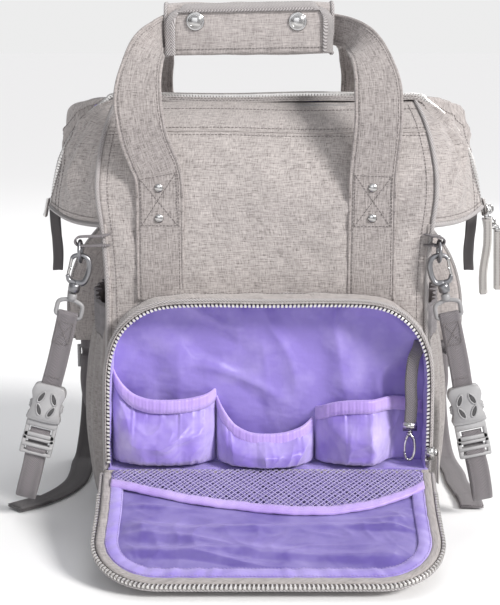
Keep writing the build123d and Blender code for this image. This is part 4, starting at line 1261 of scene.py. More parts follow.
def gathered_pockets():
    for k, measures in enumerate(POCKETS):
        grid = gathered(*measures)
        cloth = sheet(f"gathered_pocket_{k + 1}", grid, LINING_THICK, "satin_gathered", "bag",
                      k == 0 and "organizer_pockets", side=-1)
        edge = grid[-1].copy()
        for _ in range(60):
            edge[1:-1] = (edge[:-2] + 2 * edge[1:-1] + edge[2:]) / 4
        step = np.arange(len(edge))
        edge[:, 1] += np.sin(step * 1.35 + k) * 0.12 + np.sin(step * 0.61 + k) * 0.14 - 0.8
        fold = np.stack([edge + np.array([0, y, z]) for y, z in ELASTIC_FOLD])
        fold[..., 1] = np.minimum(fold[..., 1], -100.9)
        elastic = sheet(f"pocket_elastic_{k + 1}", fold, 0.7, "satin_bind", "bag")
        stitching = seams(f"pocket_elastic_stitch_{k + 1}",
                          [(fold[1] + np.array([0, -0.3, -1.5]), -Y_AXIS)],
                          "bag", "hem", "thread_violet")
        for ob in (cloth, elastic, stitching):
            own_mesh(ob)
    paths = []
    for x, top in ((-50, 140), (47, 122)):
        z = np.linspace(68, top, 24)
        paths.append(points(x + 0.6 * np.sin(z / 9), -103.4, z))
    tubes("pocket_divider_seams", paths, 1.5, "satin_bind", "bag", seg=6)


# ============================================================== fold-down flap
# The flap is laid out as x, distance out from the fold, and height above its inner face.
FLAP_SLOPE = math.radians(19.0)
FLAP_COS, FLAP_SIN = math.cos(FLAP_SLOPE), math.sin(FLAP_SLOPE)
FLAP_UP = np.array([0, -FLAP_SIN, FLAP_COS])
FLAP_IN = np.array([0, FLAP_COS, FLAP_SIN])          # towards the fold
FOLD_Y, FOLD_Z = -140, 64
FLAP_HALF_WIDTH, FLAP_LENGTH, FLAP_CORNER = 160.0, 165.0, 62.0
FLAP_TAPER = 2.5
# free edge of the mesh pocket: (x, distance out from the fold)
NET_EDGE = np.array([(-150, 22), (-118, 33), (-76, 47), (-30, 57), (16, 64), (62, 64),
                     (104, 53), (136, 36), (150, 26)], float)
NET_LINE = catmull(NET_EDGE, 120)


def flap_point(x, out, height):
    return points(x, FOLD_Y - out * FLAP_COS - height * FLAP_SIN,
                  FOLD_Z - out * FLAP_SIN + height * FLAP_COS)


def flap_size(inset):
    return FLAP_HALF_WIDTH - inset, FLAP_LENGTH - inset, FLAP_CORNER - inset


def flap_half(out, inset):
    """Half width of the flap at a distance out from the fold."""
    half, length, corner = flap_size(inset)
    turn = np.clip((out - (length - corner)) / corner, 0, 1)
    return (half - FLAP_TAPER * np.clip(out / 60, 0, 1)
            - corner + corner * np.sqrt(1 - turn * turn))


def flap_grid(inset, start, rows, cols, height):
    # rows crowd together near the outer edge, where the corners turn
    down = np.linspace(0, 1, rows)[:, None]
    across = np.linspace(-1, 1, cols)
    out = start + (FLAP_LENGTH - inset - 0.3 - start) * np.sin(down * math.pi / 2) ** 0.9
    x = np.maximum(flap_half(out, inset), 6.0) * across
    return flap_point(x, out, height(x, out, across, down))


def flap_outline(inset, height, start=6.0):
    """Edge line from the fold on the left, round both corners, to the fold on the right."""
    half, length, corner = flap_size(inset)
    straight = half - FLAP_TAPER - corner
    left = [(-half, start)]
    left += [(-flap_half(out, inset), out) for out in np.linspace(12, length - corner, 8)]
    left += [(-straight - corner * math.cos(a), length - corner + corner * math.sin(a))
             for a in (math.pi / 2 * k / 12 for k in range(1, 13))]
    outer = [(x, length) for x in np.linspace(-straight, straight, 18)[1:-1]]
    line = catmull(left + outer + [(-x, out) for x, out in left[::-1]], 260)
    return flap_point(line[:, 0], line[:, 1], height)


def flap_cloth():
    grid = flap_grid(0, 3, 40, 61, lambda x, out, across, down: 0.0)
    x, y = grid[..., 0], grid[..., 1]
    ripple = smooth_noise(x, y, 101, 90) * 1.3 + smooth_noise(x, y * 1.3, 102, 34) * 0.6
    ripple = ripple * np.minimum(np.arange(40)[:, None] / 6, 1)
    grid = grid + ripple[..., None] * FLAP_UP * 0.5
    grid[..., 2] = np.maximum(grid[..., 2], 4.0)
    sheet("flap_cloth", grid, 3.4, "shell", "flap", "flap_shell")


def lining_height(x, out, across, down):
    """Pleats towards the outer corners over a slight puff."""
    corner = np.maximum(0.0, (out - 95) / 70) * np.abs(across) ** 2.5
    pleat = np.sin((np.abs(across) * 1.4 - down * 1.1) * 22) * corner * 1.5
    puff = np.sin(math.pi * np.minimum(1, down * 1.02)) * (1 - np.abs(across) ** 6)
    return 1.6 + pleat + puff + 0.25 * np.sin(x / 13 + out / 19)


def flap_satin():
    inset = 7.0
    grid = flap_grid(inset, 4.5, 110, 181, lining_height)
    x, y = grid[..., 0], grid[..., 1]
    out = (FOLD_Y - y) / FLAP_COS
    # folds fade out at the hem and under the mesh pocket
    from_sides = (1 - np.abs(np.linspace(-1, 1, 181))) * 152
    free = (np.clip((from_sides - 13) / 22, 0, 1)
            * np.clip((FLAP_LENGTH - inset - out - 13) / 16, 0, 1))
    clear = np.clip((out - np.interp(x, *NET_EDGE.T) - 9) / 24, 0.05, 1) ** 1.3
    broad = folds(x * 0.20, y + x * 0.05, 113, scale=46, sharp=1.25, warp=12)
    fine = folds(x * 0.5, y, 117, scale=34, sharp=1.5, warp=8)
    corner = folds(x + y, (y - x) * 0.4, 119, scale=24, sharp=1.4, warp=5)
    relief = (6.0 * broad + 1.2 * fine + smooth_noise(x, y, 111, 40) * 0.5
              + np.clip((np.abs(x) - 95) / 60, 0, 1) * 2.0 * corner)
    lift = relief * free * clear * 0.95 - 0.9 * (1 - free)
    sheet("flap_satin", grid + lift[..., None] * FLAP_UP, 0.9, "satin_flap", "flap",
          "flap_lining")


def flap_band(*lines):
    """Grid between flap outlines given as (inset, height)."""
    return np.stack([flap_outline(inset, height) for inset, height in lines], 1)


def flap_edges():
    """Satin hem, zip half, piping and under-stitching along the flap's edge."""
    hem = flap_band((8.6, 2.8), (10.2, 3.7), (14, 4.1), (19.6, 4.0), (21.4, 2.4))
    step = np.arange(260)
    ruck = smooth_noise(step * 2.0, 0, 121, 17) * 0.8 + np.sin(step * 1.15) * 0.12
    hem = hem + (ruck[:, None] * np.array([0.2, 0.7, 1.0, 1.0, 0.6]))[..., None] * FLAP_UP
    sheet("flap_hem", hem, LINING_THICK, "satin", "flap")
    kept = hem[4:-4]
    seams("flap_hem_stitch", [((kept[:, -2] + kept[:, -1]) / 2 + FLAP_UP * 0.5, FLAP_UP),
                              (kept[:, 1] + FLAP_UP * 0.3, FLAP_UP)],
          "flap", "hem", "thread_violet", slot="lining_fabric")
    sheet("flap_zip_tape", flap_band((9.5, 2.0), (7, 2.6), (4.0, 2.7), (1.2, 2.2)), 0.9,
          "tape", "flap", "flap_zip")
    outward = unit(flap_outline(0, 0.6) - flap_outline(9.5, 0.8))
    batch = Batch()
    batch.teeth(flap_outline(0.4, 2.4)[14:-14], FLAP_UP, outward[14:-14], shift=2.3,
                half_across=1.9, half_out=1.7, first=1)
    batch.build("flap_zip_teeth", "teeth", "flap", smooth=False)
    tubes("flap_piping", [flap_outline(-1.2, -0.8, start=3.0)], 2.3, "bind", "flap")
    seams("flap_under_stitch", [(flap_outline(8, -3.6), -FLAP_UP)], "flap", "edge")


def net_point(net, x, share):
    """Point of the net at x and a share of the way from the fold to the free edge."""
    j, i = (x + 150) / 300 * 119, share * 15
    j0, i0 = int(j), min(int(i), 14)
    fj, fi = j - j0, i - i0
    left = net[i0, j0] * (1 - fi) + net[i0 + 1, j0] * fi
    right = net[i0, j0 + 1] * (1 - fi) + net[i0 + 1, j0 + 1] * fi
    return left * (1 - fj) + right * fj


def net_yarns(net):
    """Yarns that cross the net both ways."""
    batch = Batch()
    for lean, start in ((-1, 65), (1, 0)):
        for k in range(-14, 72):
            path = []
            for out in np.arange(27) * 2.5:
                x = (-150 + k * MESH_PITCH + lean * out * 0.95 + start
                     + 0.7 * math.sin(out * 2.4 + k))
                if abs(x) > 149:
                    continue
                share = out / (np.interp(x, NET_LINE[:, 0], NET_LINE[:, 1]) - 3)
                if share > 1:
                    break
                path.append(net_point(net, x, share) + FLAP_UP * 0.45)
            if len(path) > 2:
                batch.tube(path, 0.42, seg=4)
    batch.build("mesh_pocket_yarns", "mesh_yarn", "flap")


# section of the net's elastic edge: (towards the fold, height)
NET_ELASTIC = [(4.5, 0.9), (2.0, 1.3), (-1.5, 1.4), (-4.8, 1.0), (-5.6, -0.2), (-4.6, -0.9)]


def mesh_pocket():
    """Mesh pocket on the flap, open towards the flap's outer edge."""
    x, edge = NET_LINE.T
    share = np.linspace(0, 1, 16)[:, None]
    height = (4.0 + 1.5 * np.sin(math.pi * (share * 0.85 + 0.1)) * (1 - np.abs(x / 152) ** 4)
              + 0.3 * np.sin(x / 5.5) * share)
    net = flap_point(x, 3 + (edge - 3) * share, height)
    sheet("mesh_pocket_net", net, 0.5, "mesh", "flap", "mesh_pocket", side=-1)
    net_yarns(net)
    fold = np.array([
        net[-1] + FLAP_IN * inward + FLAP_UP * (lift + 0.21 * np.sin(x / 1.9 + k))[:, None]
        for k, (inward, lift) in enumerate(NET_ELASTIC)])
    sheet("mesh_pocket_elastic", fold, 0.8, "satin_bind", "flap", side=-1, slot="mesh_fabric")
    seams("mesh_elastic_stitch", [(fold[i] + FLAP_UP * 0.3, FLAP_UP) for i in (0, 2)],
          "flap", "net", "thread_violet", slot="mesh_fabric")


# =================================================================== key leash
LEASH_PATH = [(150, -112, 188), (147, -120, 182), (142, -126, 172), (140, -127, 150),
              (141, -127, 128), (140, -126.5, 108), (139.5, -126, 105)]
LEASH_HOOK = [(140, -126, 97), (143.6, -126, 94), (145, -126, 88), (145, -126, 80),
              (143, -126, 73.5), (140, -126, 71.6), (136.8, -126, 73.5), (135.4, -126, 79)]


def key_leash():
    path = catmull(LEASH_PATH, 70)
    strap("key_leash_web", path, X_AXIS, 12, 1.8, "web", "leash", "key_leash")
    seams("key_leash_stitch",
          [(path[2:-2] + np.array([x, -1.0, 0]), -Y_AXIS) for x in (-4.6, 4.6)],
          "leash", "leash", slot="webbing")
    batch = Batch()
    batch.block((133.2, -129, 102), (146.8, -123, 110), bevel=0.12, axis=1)
    batch.lathe((140, -126, 102.4), -Z_AXIS,
                [(2.2, 0), (2.6, 1.0), (2.6, 2.6), (1.6, 3.2), (1.5, 4.6)], 18)
    batch.build("key_leash_ferrule", "chrome", "leash")
    batch = Batch()
    batch.lathe((140, -126, 99.6), -Z_AXIS, [(1.2, 0), (3.1, 0.4), (3.1, 2.6), (2.2, 3.4)], 18)
    batch.tube(catmull(LEASH_HOOK, 44),
               np.interp(np.linspace(0, 1, 44), [0, 0.3, 1], [1.7, 1.6, 1.25]), seg=10)
    batch.tube(catmull([(136.9, -126, 93.6), (135.6, -126, 88), (135.3, -126, 79.5)], 14), 1.1)
    batch.tube(catmull([(140, -126, 97), (137.6, -126, 95.5), (136.6, -126, 92.5)], 10), 1.5)
    batch.build("key_leash_clip", "chrome", "leash_hook", "key_hook")


# ============================================================ sliders and pulls
PULL_WIDTH = 8.0
# main sliders: letter, place down the right tail, y of the pull, pull length,
# x shift of the pull, and how far the pull's foot hangs aside
MAIN_SLIDERS = [("a", 9.0, -15.8, 92, -5.0, -2), ("b", 23.0, -11.4, 74, 4.0, 2)]
POCKET_SLIDER_X, POCKET_SLIDER_Z = 159.0, 82.0


def pull_strip(letter, x, top, foot_x, foot, y):
    """Long coated strip with turned edges."""
    name = "pull_" + letter
    drop = top - foot
    path = catmull([(x, y, top), (x + 0.45, y - 0.4, top - drop * 0.35),
                    (foot_x - 0.6, y + 0.4, top - drop * 0.7), (foot_x, y, foot)], 60)
    width = np.interp(np.linspace(0, 1, 60), [0, 0.05, 0.93, 1],
                      [6.0, PULL_WIDTH, PULL_WIDTH, 6.4])
    strap(name + "_strip", path, X_AXIS, width, 2.6, "pull", name, "main_" + name)
    tubes(name + "_edge",
          [path[1:-1] + X_AXIS * edge * PULL_WIDTH / 2 * 0.98 for edge in (-1, 1)],
          0.75, "teeth", name, seg=6, slot="polished_metal")
    inner = PULL_WIDTH / 2 - 1.9
    seams(name + "_stitch",
          [(path[4:-3] + np.array([edge * inner, -1.35, 0]), -Y_AXIS) for edge in (-1, 1)],
          name, "pull", slot="pull_leather")


def slider_body(letter, along):
    """Two plates round the chain, side walls, a middle post and a bridge on top."""
    down, out = tail_axes(1)
    centre = tail_point(1, along)
    batch = Batch()
    batch.box(centre + out * 3.7, down * 5.4, Y_AXIS * 5.2, out * 0.95, 0.28)
    batch.box(centre - out * 2.9, down * 5.4, Y_AXIS * 5.2, -out * 0.95, 0.28)
    for edge in (-1, 1):
        wall = centre + Y_AXIS * 4.7 * edge
        batch.box(wall + out * 2.6, down * 4.8, out * 0.9, Y_AXIS * 0.6 * edge, 0.1)
        batch.box(wall - out * 2.0, down * 4.8, out * 0.7, Y_AXIS * 0.6 * edge, 0.1)
    batch.box(centre + out * 0.4 + down * 4.9, down * 0.5, Y_AXIS * 0.7, out * 3.0, 0.1)
    bridge = [(4.0, -4.2), (7.6, -3.2), (8.8, 0), (7.6, 3.2), (4.0, 4.2)]
    batch.tube(catmull([centre + out * a + down * b for a, b in bridge], 20), 1.25)
    batch.build(f"slider_{letter}_body", "chrome", "slider_" + letter, "main_slider_" + letter)


def main_sliders():
    for letter, along, y, length, shift, aside in MAIN_SLIDERS:
        slider_body(letter, along)
        pivot_x, _, pivot_z = tail_point(1, along, 6.2)
        x = pivot_x + shift
        angles = full_turn(28)
        reach = 0.5 - 0.5 * np.cos(angles)
        batch = Batch()
        batch.tube(points(pivot_x + shift * reach, y * reach,
                          pivot_z - 3.5 + 3.6 * np.sin(angles) - 1.5 * reach),
                   0.95, closed=True)
        batch.box((x, y, pivot_z - 6.5), X_AXIS * 3.6, Z_AXIS * 3.0, -Y_AXIS * 1.7, 0.2)
        batch.build(f"pull_{letter}_loop", "chrome", "pull_" + letter)
        pull_strip(letter, x, pivot_z - 6, x + aside, pivot_z + 4 - length, y)


def pocket_slider():
    x, z = POCKET_SLIDER_X, POCKET_SLIDER_Z
    batch = Batch()
    for wall in (x - 2.9, x + 2.9):
        batch.block((wall - 0.9, -140.2, z - 6), (wall + 0.9, -133.6, z + 6), bevel=0.2, axis=1)
    batch.block((x - 3.8, -141.0, z - 6), (x + 3.8, -139.4, z + 6), bevel=0.2, axis=1)
    batch.block((x + 3.2, -138.0, z - 3), (x + 7.2, -132.4, z + 3), bevel=0.2, axis=0)
    batch.build("pocket_slider_body", "chrome", "pocket_slider", "pocket_slider")
    tubes("pocket_pull_pin", [points(x + 3 + np.linspace(0, 6.6, 5), -135, z)], 1.05, "chrome",
          "pocket_pull")
    path = catmull([(x + 8.6, -135, z + 2), (x + 8.6, -135.2, z - 8), (x + 8.8, -134.8, z - 20),
                    (x + 8.6, -135, z - 31)], 26)
    strap("pocket_pull_strip", path, Y_AXIS, 6.4, 2.0, "pull", "pocket_pull", "pocket_pull")


# ============================================================== stroller straps
class StrapFrame:
    """One hanging strap's own coordinates: u across it, v up it and y in depth."""

    def __init__(self, name, x, tilt, hand):
        self.name, self.hand = name, hand
        self.body, self.end = name + "_strap", name + "_strap_end"
        tilt = math.radians(tilt)
        self.origin = np.array([x, -106.0, 266.0])
        self.across = np.array([math.cos(tilt), 0, hand * math.sin(tilt)])
        self.up = np.array([-hand * math.sin(tilt), 0, math.cos(tilt)])

    def at(self, u, v, y=0.0):
        u, v = np.asarray(u)[..., None], np.asarray(v)[..., None]
        return self.origin + self.across * u + self.up * v + Y_AXIS * y

    def curve(self, stations, count, closed=False, outward=False):
        """Curve through (u, v[, y]) stations; outward counts u away from the bag."""
        sign = self.hand if outward else 1
        return catmull([self.at(sign * u, *rest) for u, *rest in stations], count, closed)

    def plate(self, batch, outline, front, back, bevel):
        """Plate of the given (u, v) outline between two depths, edges eased."""
        centre = outline.mean(0)
        rel = outline - centre
        inner = centre + rel * (1 - bevel / np.abs(rel).max())
        layers = ((inner, front), (outline, front + bevel), (outline, back - bevel),
                  (inner, back))
        verts = np.vstack([self.at(ring[:, 0], ring[:, 1], y) for ring, y in layers])
        batch.add(verts, ring_faces(4, len(outline)))

    def bar(self, batch, u, v, width, height, radius, half_depth, bevel):
        self.plate(batch, rounded_rect(u, v, width, height, radius), -half_depth, half_depth,
                   bevel)


SNAP_HOOK = [(0, -22), (-7, -20), (-9.6, -13), (-9.6, -3), (-6.5, 4), (0, 6.0), (6.5, 4.2),
             (9.0, 1.0)]
SWIVEL_LOOP = [(-6, -40), (-11.6, -43), (-12.4, -50), (-11, -55.5), (0, -56.2), (11, -55.5),
               (12.4, -50), (11.6, -43), (6, -40), (0, -39.2)]
# webbing folded through the eye and sewn back on itself: (u, v, y)
UPPER_WEB = [(0, -86, 1.7), (0, -66, 1.9), (0, -57.5, 2.4), (0, -52.6, 1.4), (0, -51.6, -0.4),
             (0, -54, -2.2), (0, -60, -1.6), (0.4, -80, -0.9), (0.6, -104, -0.6),
             (0, -126, 0.2), (0, -133, 0.2)]
# threaded ladder, hanging bight and return run behind: (u, v, y)
LOWER_WEB = [(0, -174, 0.6), (0, -183, -1.6), (0, -188.5, 3.4), (0, -195.6, -2.8),
             (0, -203, 0.4), (0.5, -214, -0.6), (0.3, -228, -0.2), (0, -240, 2.0),
             (-0.2, -248, 6.5), (0, -251, 11.5), (0, -246, 15), (0.4, -232, 16),
             (0.3, -214, 15.5), (0, -198, 15)]
SOCKET_OUTLINE = [(-12, -128), (0, -127), (12, -128), (15.6, -131), (16.6, -137),
                  (14.8, -143), (14.2, -150), (15.4, -157), (17.0, -162), (15, -165),
                  (0, -166), (-15, -165), (-17.0, -162), (-15.4, -157), (-14.2, -150),
                  (-14.8, -143), (-16.6, -137), (-15.6, -131)]
# bars of the buckle: u, v, width, height, corner radius, half depth, bevel
SOCKET_BARS = [(0, -131.5, 29, 7.5, 3, 3.2, 0.4), (-14.2, -161, 4.6, 7, 1.6, 3.2, 0.4),
               (14.2, -161, 4.6, 7, 1.6, 3.2, 0.4), (-12.8, -139, 5.5, 7, 2, 3.0, 0.4),
               (12.8, -139, 5.5, 7, 2, 3.0, 0.4)]
PLUG_BARS = [(0, -155, 3.4, 24, 1.4, 1.6, 0.4), (0, -168.5, 31, 7.5, 2.6, 3.2, 0.9),
             (0, -181, 31, 4.2, 1.8, 2.6, 0.8), (-13.6, -176, 4.0, 16, 1.6, 2.6, 0.8),
             (13.6, -176, 4.0, 16, 1.6, 2.6, 0.8), (0, -191.8, 32, 3.4, 1.4, 3.4, 0.8),
             (0, -199.4, 32, 3.4, 1.4, 3.0, 0.8), (0, -185.0, 32, 3.0, 1.3, 2.8, 0.8),
             (-14.0, -192, 4.0, 18, 1.6, 2.8, 0.8), (14.0, -192, 4.0, 18, 1.6, 2.8, 0.8)]
PRONG = [(9.6, -166), (9.8, -160), (11.4, -154), (13.2, -149.5), (12.4, -145.5), (8.6, -142.5)]


def ring_and_loop(sf):
    """Ring beside the bag and the webbing loop that ties it on."""
    x, hand = sf.origin[0], sf.hand
    angles = full_turn(40)
    tubes(sf.name + "_ring",
          [points(x, -106 + 10 * np.cos(angles), 276 + 10 * np.sin(angles))], 1.8, "steel",
          "bag", hand < 0 and "side_rings", seg=10, closed=True)
    loop = catmull([(hand * 157, -94, 281), (hand * 163, -103, 281.5), (x - hand, -106, 281.6),
                    (x + hand * 4.2, -106, 284), (x + hand * 4.2, -106, 288),
                    (x - hand, -106, 290.4), (hand * 163, -103, 290.5),
                    (hand * 157, -94, 291)], 60)
    strap(sf.name + "_side_loop", loop, Y_AXIS, 11, 1.6, "web", "bag",
          hand < 0 and "side_loops")


def snap_hook(sf):
    """Cast open hook on a turned barrel, and its sprung gate."""
    batch = Batch()
    batch.tube(sf.curve(SNAP_HOOK, 60, outward=True),
               np.interp(np.linspace(0, 1, 60), [0, 0.3, 0.8, 1], [3.2, 2.9, 2.6, 2.0]), seg=12)
    batch.tube(sf.curve([(0, -22), (6.5, -20.5), (9.4, -15.6)], 16, outward=True),
               np.linspace(3.0, 2.1, 16), seg=12)
    batch.lathe(sf.at(0, -23), -sf.up,
                [(3.6, -1), (5.4, 0.4), (5.6, 2), (5.6, 6.5), (4.6, 8.2), (2.4, 8.8)], 22)
    batch.build(sf.name + "_snap_hook", "steel", sf.name + "_clip", sf.name + "_hook")
    batch = Batch()
    batch.tube(sf.curve([(9.2, -15.2), (9.0, -8), (9.1, 1.6)], 14, outward=True),
               np.linspace(1.5, 1.7, 14))
    batch.lathe(sf.at(sf.hand * 6.8, -8.5), sf.across * sf.hand,
                [(0.3, 0), (1.6, 0.3), (1.7, 2.4)], 14)
    batch.build(sf.name + "_snap_gate", "chrome", sf.name + "_clip_gate", sf.name + "_gate",
                slot="satin_metal")


def eye_and_upper_web(sf):
    batch = Batch()
    batch.lathe(sf.at(0, -32.4), -sf.up, [(2.6, 0), (4.4, 0.8), (4.6, 5.0), (3.6, 7.2)], 20)
    batch.tube(sf.curve(SWIVEL_LOOP, 80, closed=True)[:-1], 2.15, seg=10, closed=True)
    batch.build(sf.name + "_swivel_eye", "plastic_light", sf.body, sf.name + "_swivel_loop")
    strap(sf.name + "_web_strap", sf.curve(UPPER_WEB, 110), sf.across, 20, 1.7, "web",
          sf.body, sf.name + "_web")
    # cross-and-box sewing under the eye, one row above the buckle
    corners = [sf.at(u, v, y) for u, v, y in ((-7.5, -62, -2.1), (7.5, -62, -2.1),
                                              (7.5, -84, -2.0), (-7.5, -84, -2.0))]
    rows = [(np.linspace(corners[i], corners[j], 8) - Y_AXIS * 0.4, -Y_AXIS)
            for i, j in ((0, 1), (3, 2), (0, 3), (1, 2), (0, 2), (1, 3))]
    rows.append((np.linspace(sf.at(-8, -119, -1.6), sf.at(8, -119, -1.6), 8), -Y_AXIS))
    seams(sf.name + "_web_stitch", rows, sf.body, "strap", slot="webbing")


def petals(half_width, half_height):
    """Four leaf-shaped outlines on the face of the socket."""
    angles = full_turn(18)
    u = half_width * np.cos(angles) * (1 - 0.15 * np.sin(angles))
    v = half_height * np.sin(angles)
    for right in (-1, 1):
        for upper in (-1, 1):
            lean = math.radians(24) * right * upper
            yield np.c_[right * 6.2 + u * math.cos(lean) - v * math.sin(lean),
                        -147 + upper * 6.6 + u * math.sin(lean) + v * math.cos(lean)]


def buckle_socket(sf):
    """Waisted shell of the side-release buckle, with rimmed windows in its front, filled with
    dark plates of painted shade.
    """
    batch = Batch()
    outline = catmull(SOCKET_OUTLINE, 64, closed=True)[:-1]
    sf.plate(batch, outline, -5.4, -2.6, 1.0)
    sf.plate(batch, outline, 2.6, 5.4, 1.0)
    for bar in SOCKET_BARS:
        sf.bar(batch, *bar)
    for petal in petals(2.5, 6.2):
        batch.tube(sf.at(*petal.T, -5.5), 0.8, seg=6, closed=True)
    batch.build(sf.name + "_socket_shell", "plastic", sf.body, sf.name + "_buckle_socket")
    # the windows are dark plates on the face: painted shade where the openings would be
    batch = Batch()
    for petal in petals(2.3, 5.9):
        sf.plate(batch, petal, -5.62, -5.3, 0.05)
    batch.build(sf.name + "_socket_windows", "window_shade", sf.body)


def buckle_plug(sf):
    """Two sprung prongs with ribbed shoulders, centre guide, web bars and ladder."""
    batch = Batch()
    for hand in HANDS:
        batch.tube(sf.curve([(hand * u, v) for u, v in PRONG], 26),
                   np.interp(np.linspace(0, 1, 26), [0, 0.6, 1], [2.1, 2.2, 1.4]))
        sf.bar(batch, hand * 14.6, -150, 3.6, 9, 1.6, 2.2, 0.8)
        for k in range(3):
            sf.bar(batch, hand * 16.5, -147.4 - 2.5 * k, 1.0, 1.2, 0.4, 2.0, 0.3)
    for bar in PLUG_BARS:
        sf.bar(batch, *bar)
    batch.build(sf.name + "_plug_body", "plastic", sf.end, sf.name + "_buckle_plug")


def lower_web(sf):
    strap(sf.name + "_lower_web", sf.curve(LOWER_WEB, 150), sf.across, 20, 1.7, "web", sf.end,
          sf.name + "_tail")
    seams(sf.name + "_lower_stitch",
          [(np.linspace(sf.at(u, -198, 16.4), sf.at(u, -212, 16.8), 6), Y_AXIS)
           for u in (-7.5, 7.5)], sf.end, "strap", slot="webbing")


def stroller_straps():
    for sf in (StrapFrame("left", x=-181.0, tilt=14.5, hand=-1),
               StrapFrame("right", x=167.0, tilt=12.1, hand=1)):
        ring_and_loop(sf)
        snap_hook(sf)
        eye_and_upper_web(sf)
        buckle_socket(sf)
        buckle_plug(sf)
        lower_web(sf)


# ============================================================ back of the bag
# right shoulder strap, from the yoke outwards and down: (x, z)
SHOULDER = [(48, 322), (78, 308), (118, 288), (156, 262), (184, 230), (196, 196), (198, 160),
            (198, 140)]
LOCK_X = 198
# right lower webbing, from the ladder lock to the bottom corner
LOWER_STRAP = [(198, 110.5, 142), (198, 112, 132), (198, 118.5, 127.5), (198, 119.0, 122),
               (198, 112, 119), (198.5, 108, 108), (199, 107.5, 90), (195, 108, 66),
               (182, 107, 48), (163, 103, 37), (142, 97.5, 28)]
# free ends that hang from the locks and lie on the floor
FREE_ENDS = {
    -1: [(-198, 120.5, 123), (-199, 123.5, 95), (-200.5, 121, 58), (-204, 116, 24),
         (-207, 103, 4.5), (-208, 82, 2.2), (-206, 44, 2.4), (-208, 12, 2.2),
         (-218, -22, 2.8), (-236, -50, 2.2), (-259, -74, 2.6)],
    1: [(198, 120.5, 123), (199, 123.5, 95), (200.5, 121, 58), (204, 116, 24), (208, 103, 4.5),
        (209, 82, 2.2), (211, 44, 2.4), (210, 14, 2.2), (212, -18, 2.8), (214, -46, 2.3),
        (213, -70, 2.4)]}
# cross bars of the ladder lock: (z, y, radius)
LOCK_BARS = [(131.5, 115.2, 2.1), (120.0, 116.2, 1.6), (108.6, 115.2, 2.1)]


def mirrored(stations, hand):
    return [(hand * x, y, z) for x, y, z in stations]


def shoulder_pad(hand):
    """Padded strap with bound edges and webbing sewn along its back face."""
    letter = HANDS[hand]
    path = catmull([(hand * x, 109.5 + 3.0 * math.sin(i * 0.8), z)
                    for i, (x, z) in enumerate(SHOULDER)], 90)
    across = unit(np.cross(tangents(path), Y_AXIS))
    along = np.linspace(0, 1, 90)
    width = np.interp(along, [0, 0.08, 0.5, 0.92, 1], [44, 52, 52, 50, 36])
    share = np.linspace(-1, 1, 25)
    puff = 6.2 * (1 - np.abs(share) ** 3.5) ** 0.6
    full = np.clip(np.minimum(along, 1 - along) * 22, 0.25, 1)[:, None]
    wave = smooth_noise(along[:, None] * 260, share * 26, 140, 38) * 0.8
    flat = path[:, None] + across[:, None] * (width[:, None] / 2 * share)[..., None]
    outer = flat + Y_AXIS * (puff * full + wave)[..., None]
    inner = flat - Y_AXIS * (puff * 0.8 * full)[..., None]
    rings = np.concatenate([outer, inner[:, ::-1]], 1)
    uv = np.stack(np.meshgrid(distances(path), np.linspace(0, 110, 50), indexing="ij"), -1)
    mesh_object("shoulder_pad_" + letter, rings.reshape(-1, 3), ring_faces(90, 50),
                uv.reshape(-1, 2), "pad", "bag", hand < 0 and "shoulder_straps")
    tubes("shoulder_binding_" + letter,
          [(path + across * (edge * width / 2)[:, None])[1:-1] for edge in (-1, 1)],
          2.2, "bind", "bag")
    strap("shoulder_run_" + letter, path[4:] + Y_AXIS * 6.9, across[4:], 25, 1.8, "web", "bag")
    batch = Batch()
    for aside in (-10, 10):
        batch.stitches(path[6:] + across[6:] * aside + Y_AXIS * 7.9, Y_AXIS, "shoulder")
    for k in (6, 30, 54, 76):
        row = np.linspace(path[k] - across[k] * 11, path[k] + across[k] * 11, 8)
        batch.stitches(row + Y_AXIS * 8.0, Y_AXIS, "shoulder_bar")
    batch.build("shoulder_stitch_" + letter, "thread", "bag", slot="webbing")


def shoulder_webbing(hand):
    """Lower webbing to the bottom corner, and the free end with its doubled tip."""
    letter = HANDS[hand]
    path = catmull(mirrored(LOWER_STRAP, hand), 110)
    along = tangents(path)
    across = unit(np.cross(along, Y_AXIS))
    across = np.where(np.abs(along[:, 1:2]) > 0.8, X_AXIS, across)
    across = np.where(across[:, 0:1] < 0, -across, across)
    strap("shoulder_lower_web_" + letter, path, across, 25, 1.8, "web", "bag",
          hand < 0 and "shoulder_webbing")
    path = catmull(FREE_ENDS[hand], 170)
    along = tangents(path)
    across = points(-along[:, 1], along[:, 0], 0)
    across = np.where(across[:, 0:1] < 0, -across, across)
    # across is level where the webbing lies on the floor, and along x where it hangs
    lying = np.clip(np.hypot(along[:, 0], along[:, 1]) * 2 - 0.6, 0, 1)[:, None]
    across = unit(across * lying + X_AXIS * (1 - lying))
    mat = "webdark" if hand < 0 else "web"
    strap("shoulder_free_end_" + letter, path, across, 24.5, 1.7, mat, "bag")
    strap("shoulder_folded_end_" + letter, path[-22:] + Z_AXIS * 1.8, across[-22:], 24.5, 1.7,
          mat, "bag")


def ladder_lock(hand):
    x = hand * LOCK_X
    batch = Batch()
    for z, y, radius in LOCK_BARS:
        batch.tube(points(x + np.linspace(-15.5, 15.5, 9), y, z), radius, seg=10)
    for aside in (-15, 15):
        batch.tube(points(x + aside, 115.2, np.linspace(133, 107, 9)), 2.3, seg=10)
    batch.build("ladder_lock_" + HANDS[hand], "plastic", "bag", hand < 0 and "ladder_locks")


def strap_anchor(hand):
    """Four-sided cloth tab at the bottom corner."""
    outer_top, outer_low, inner_low, inner_top = np.array(mirrored(
        [(160, 98.2, 52), (160, 98.2, 22), (128, 98.2, 14), (128, 98.2, 30)], hand))
    grid = span(np.linspace(outer_top, inner_top, 12), np.linspace(outer_low, inner_low, 12),
                np.linspace(0, 1, 12))
    sheet("strap_anchor_" + HANDS[hand], grid, 2.4, "shell", "bag")


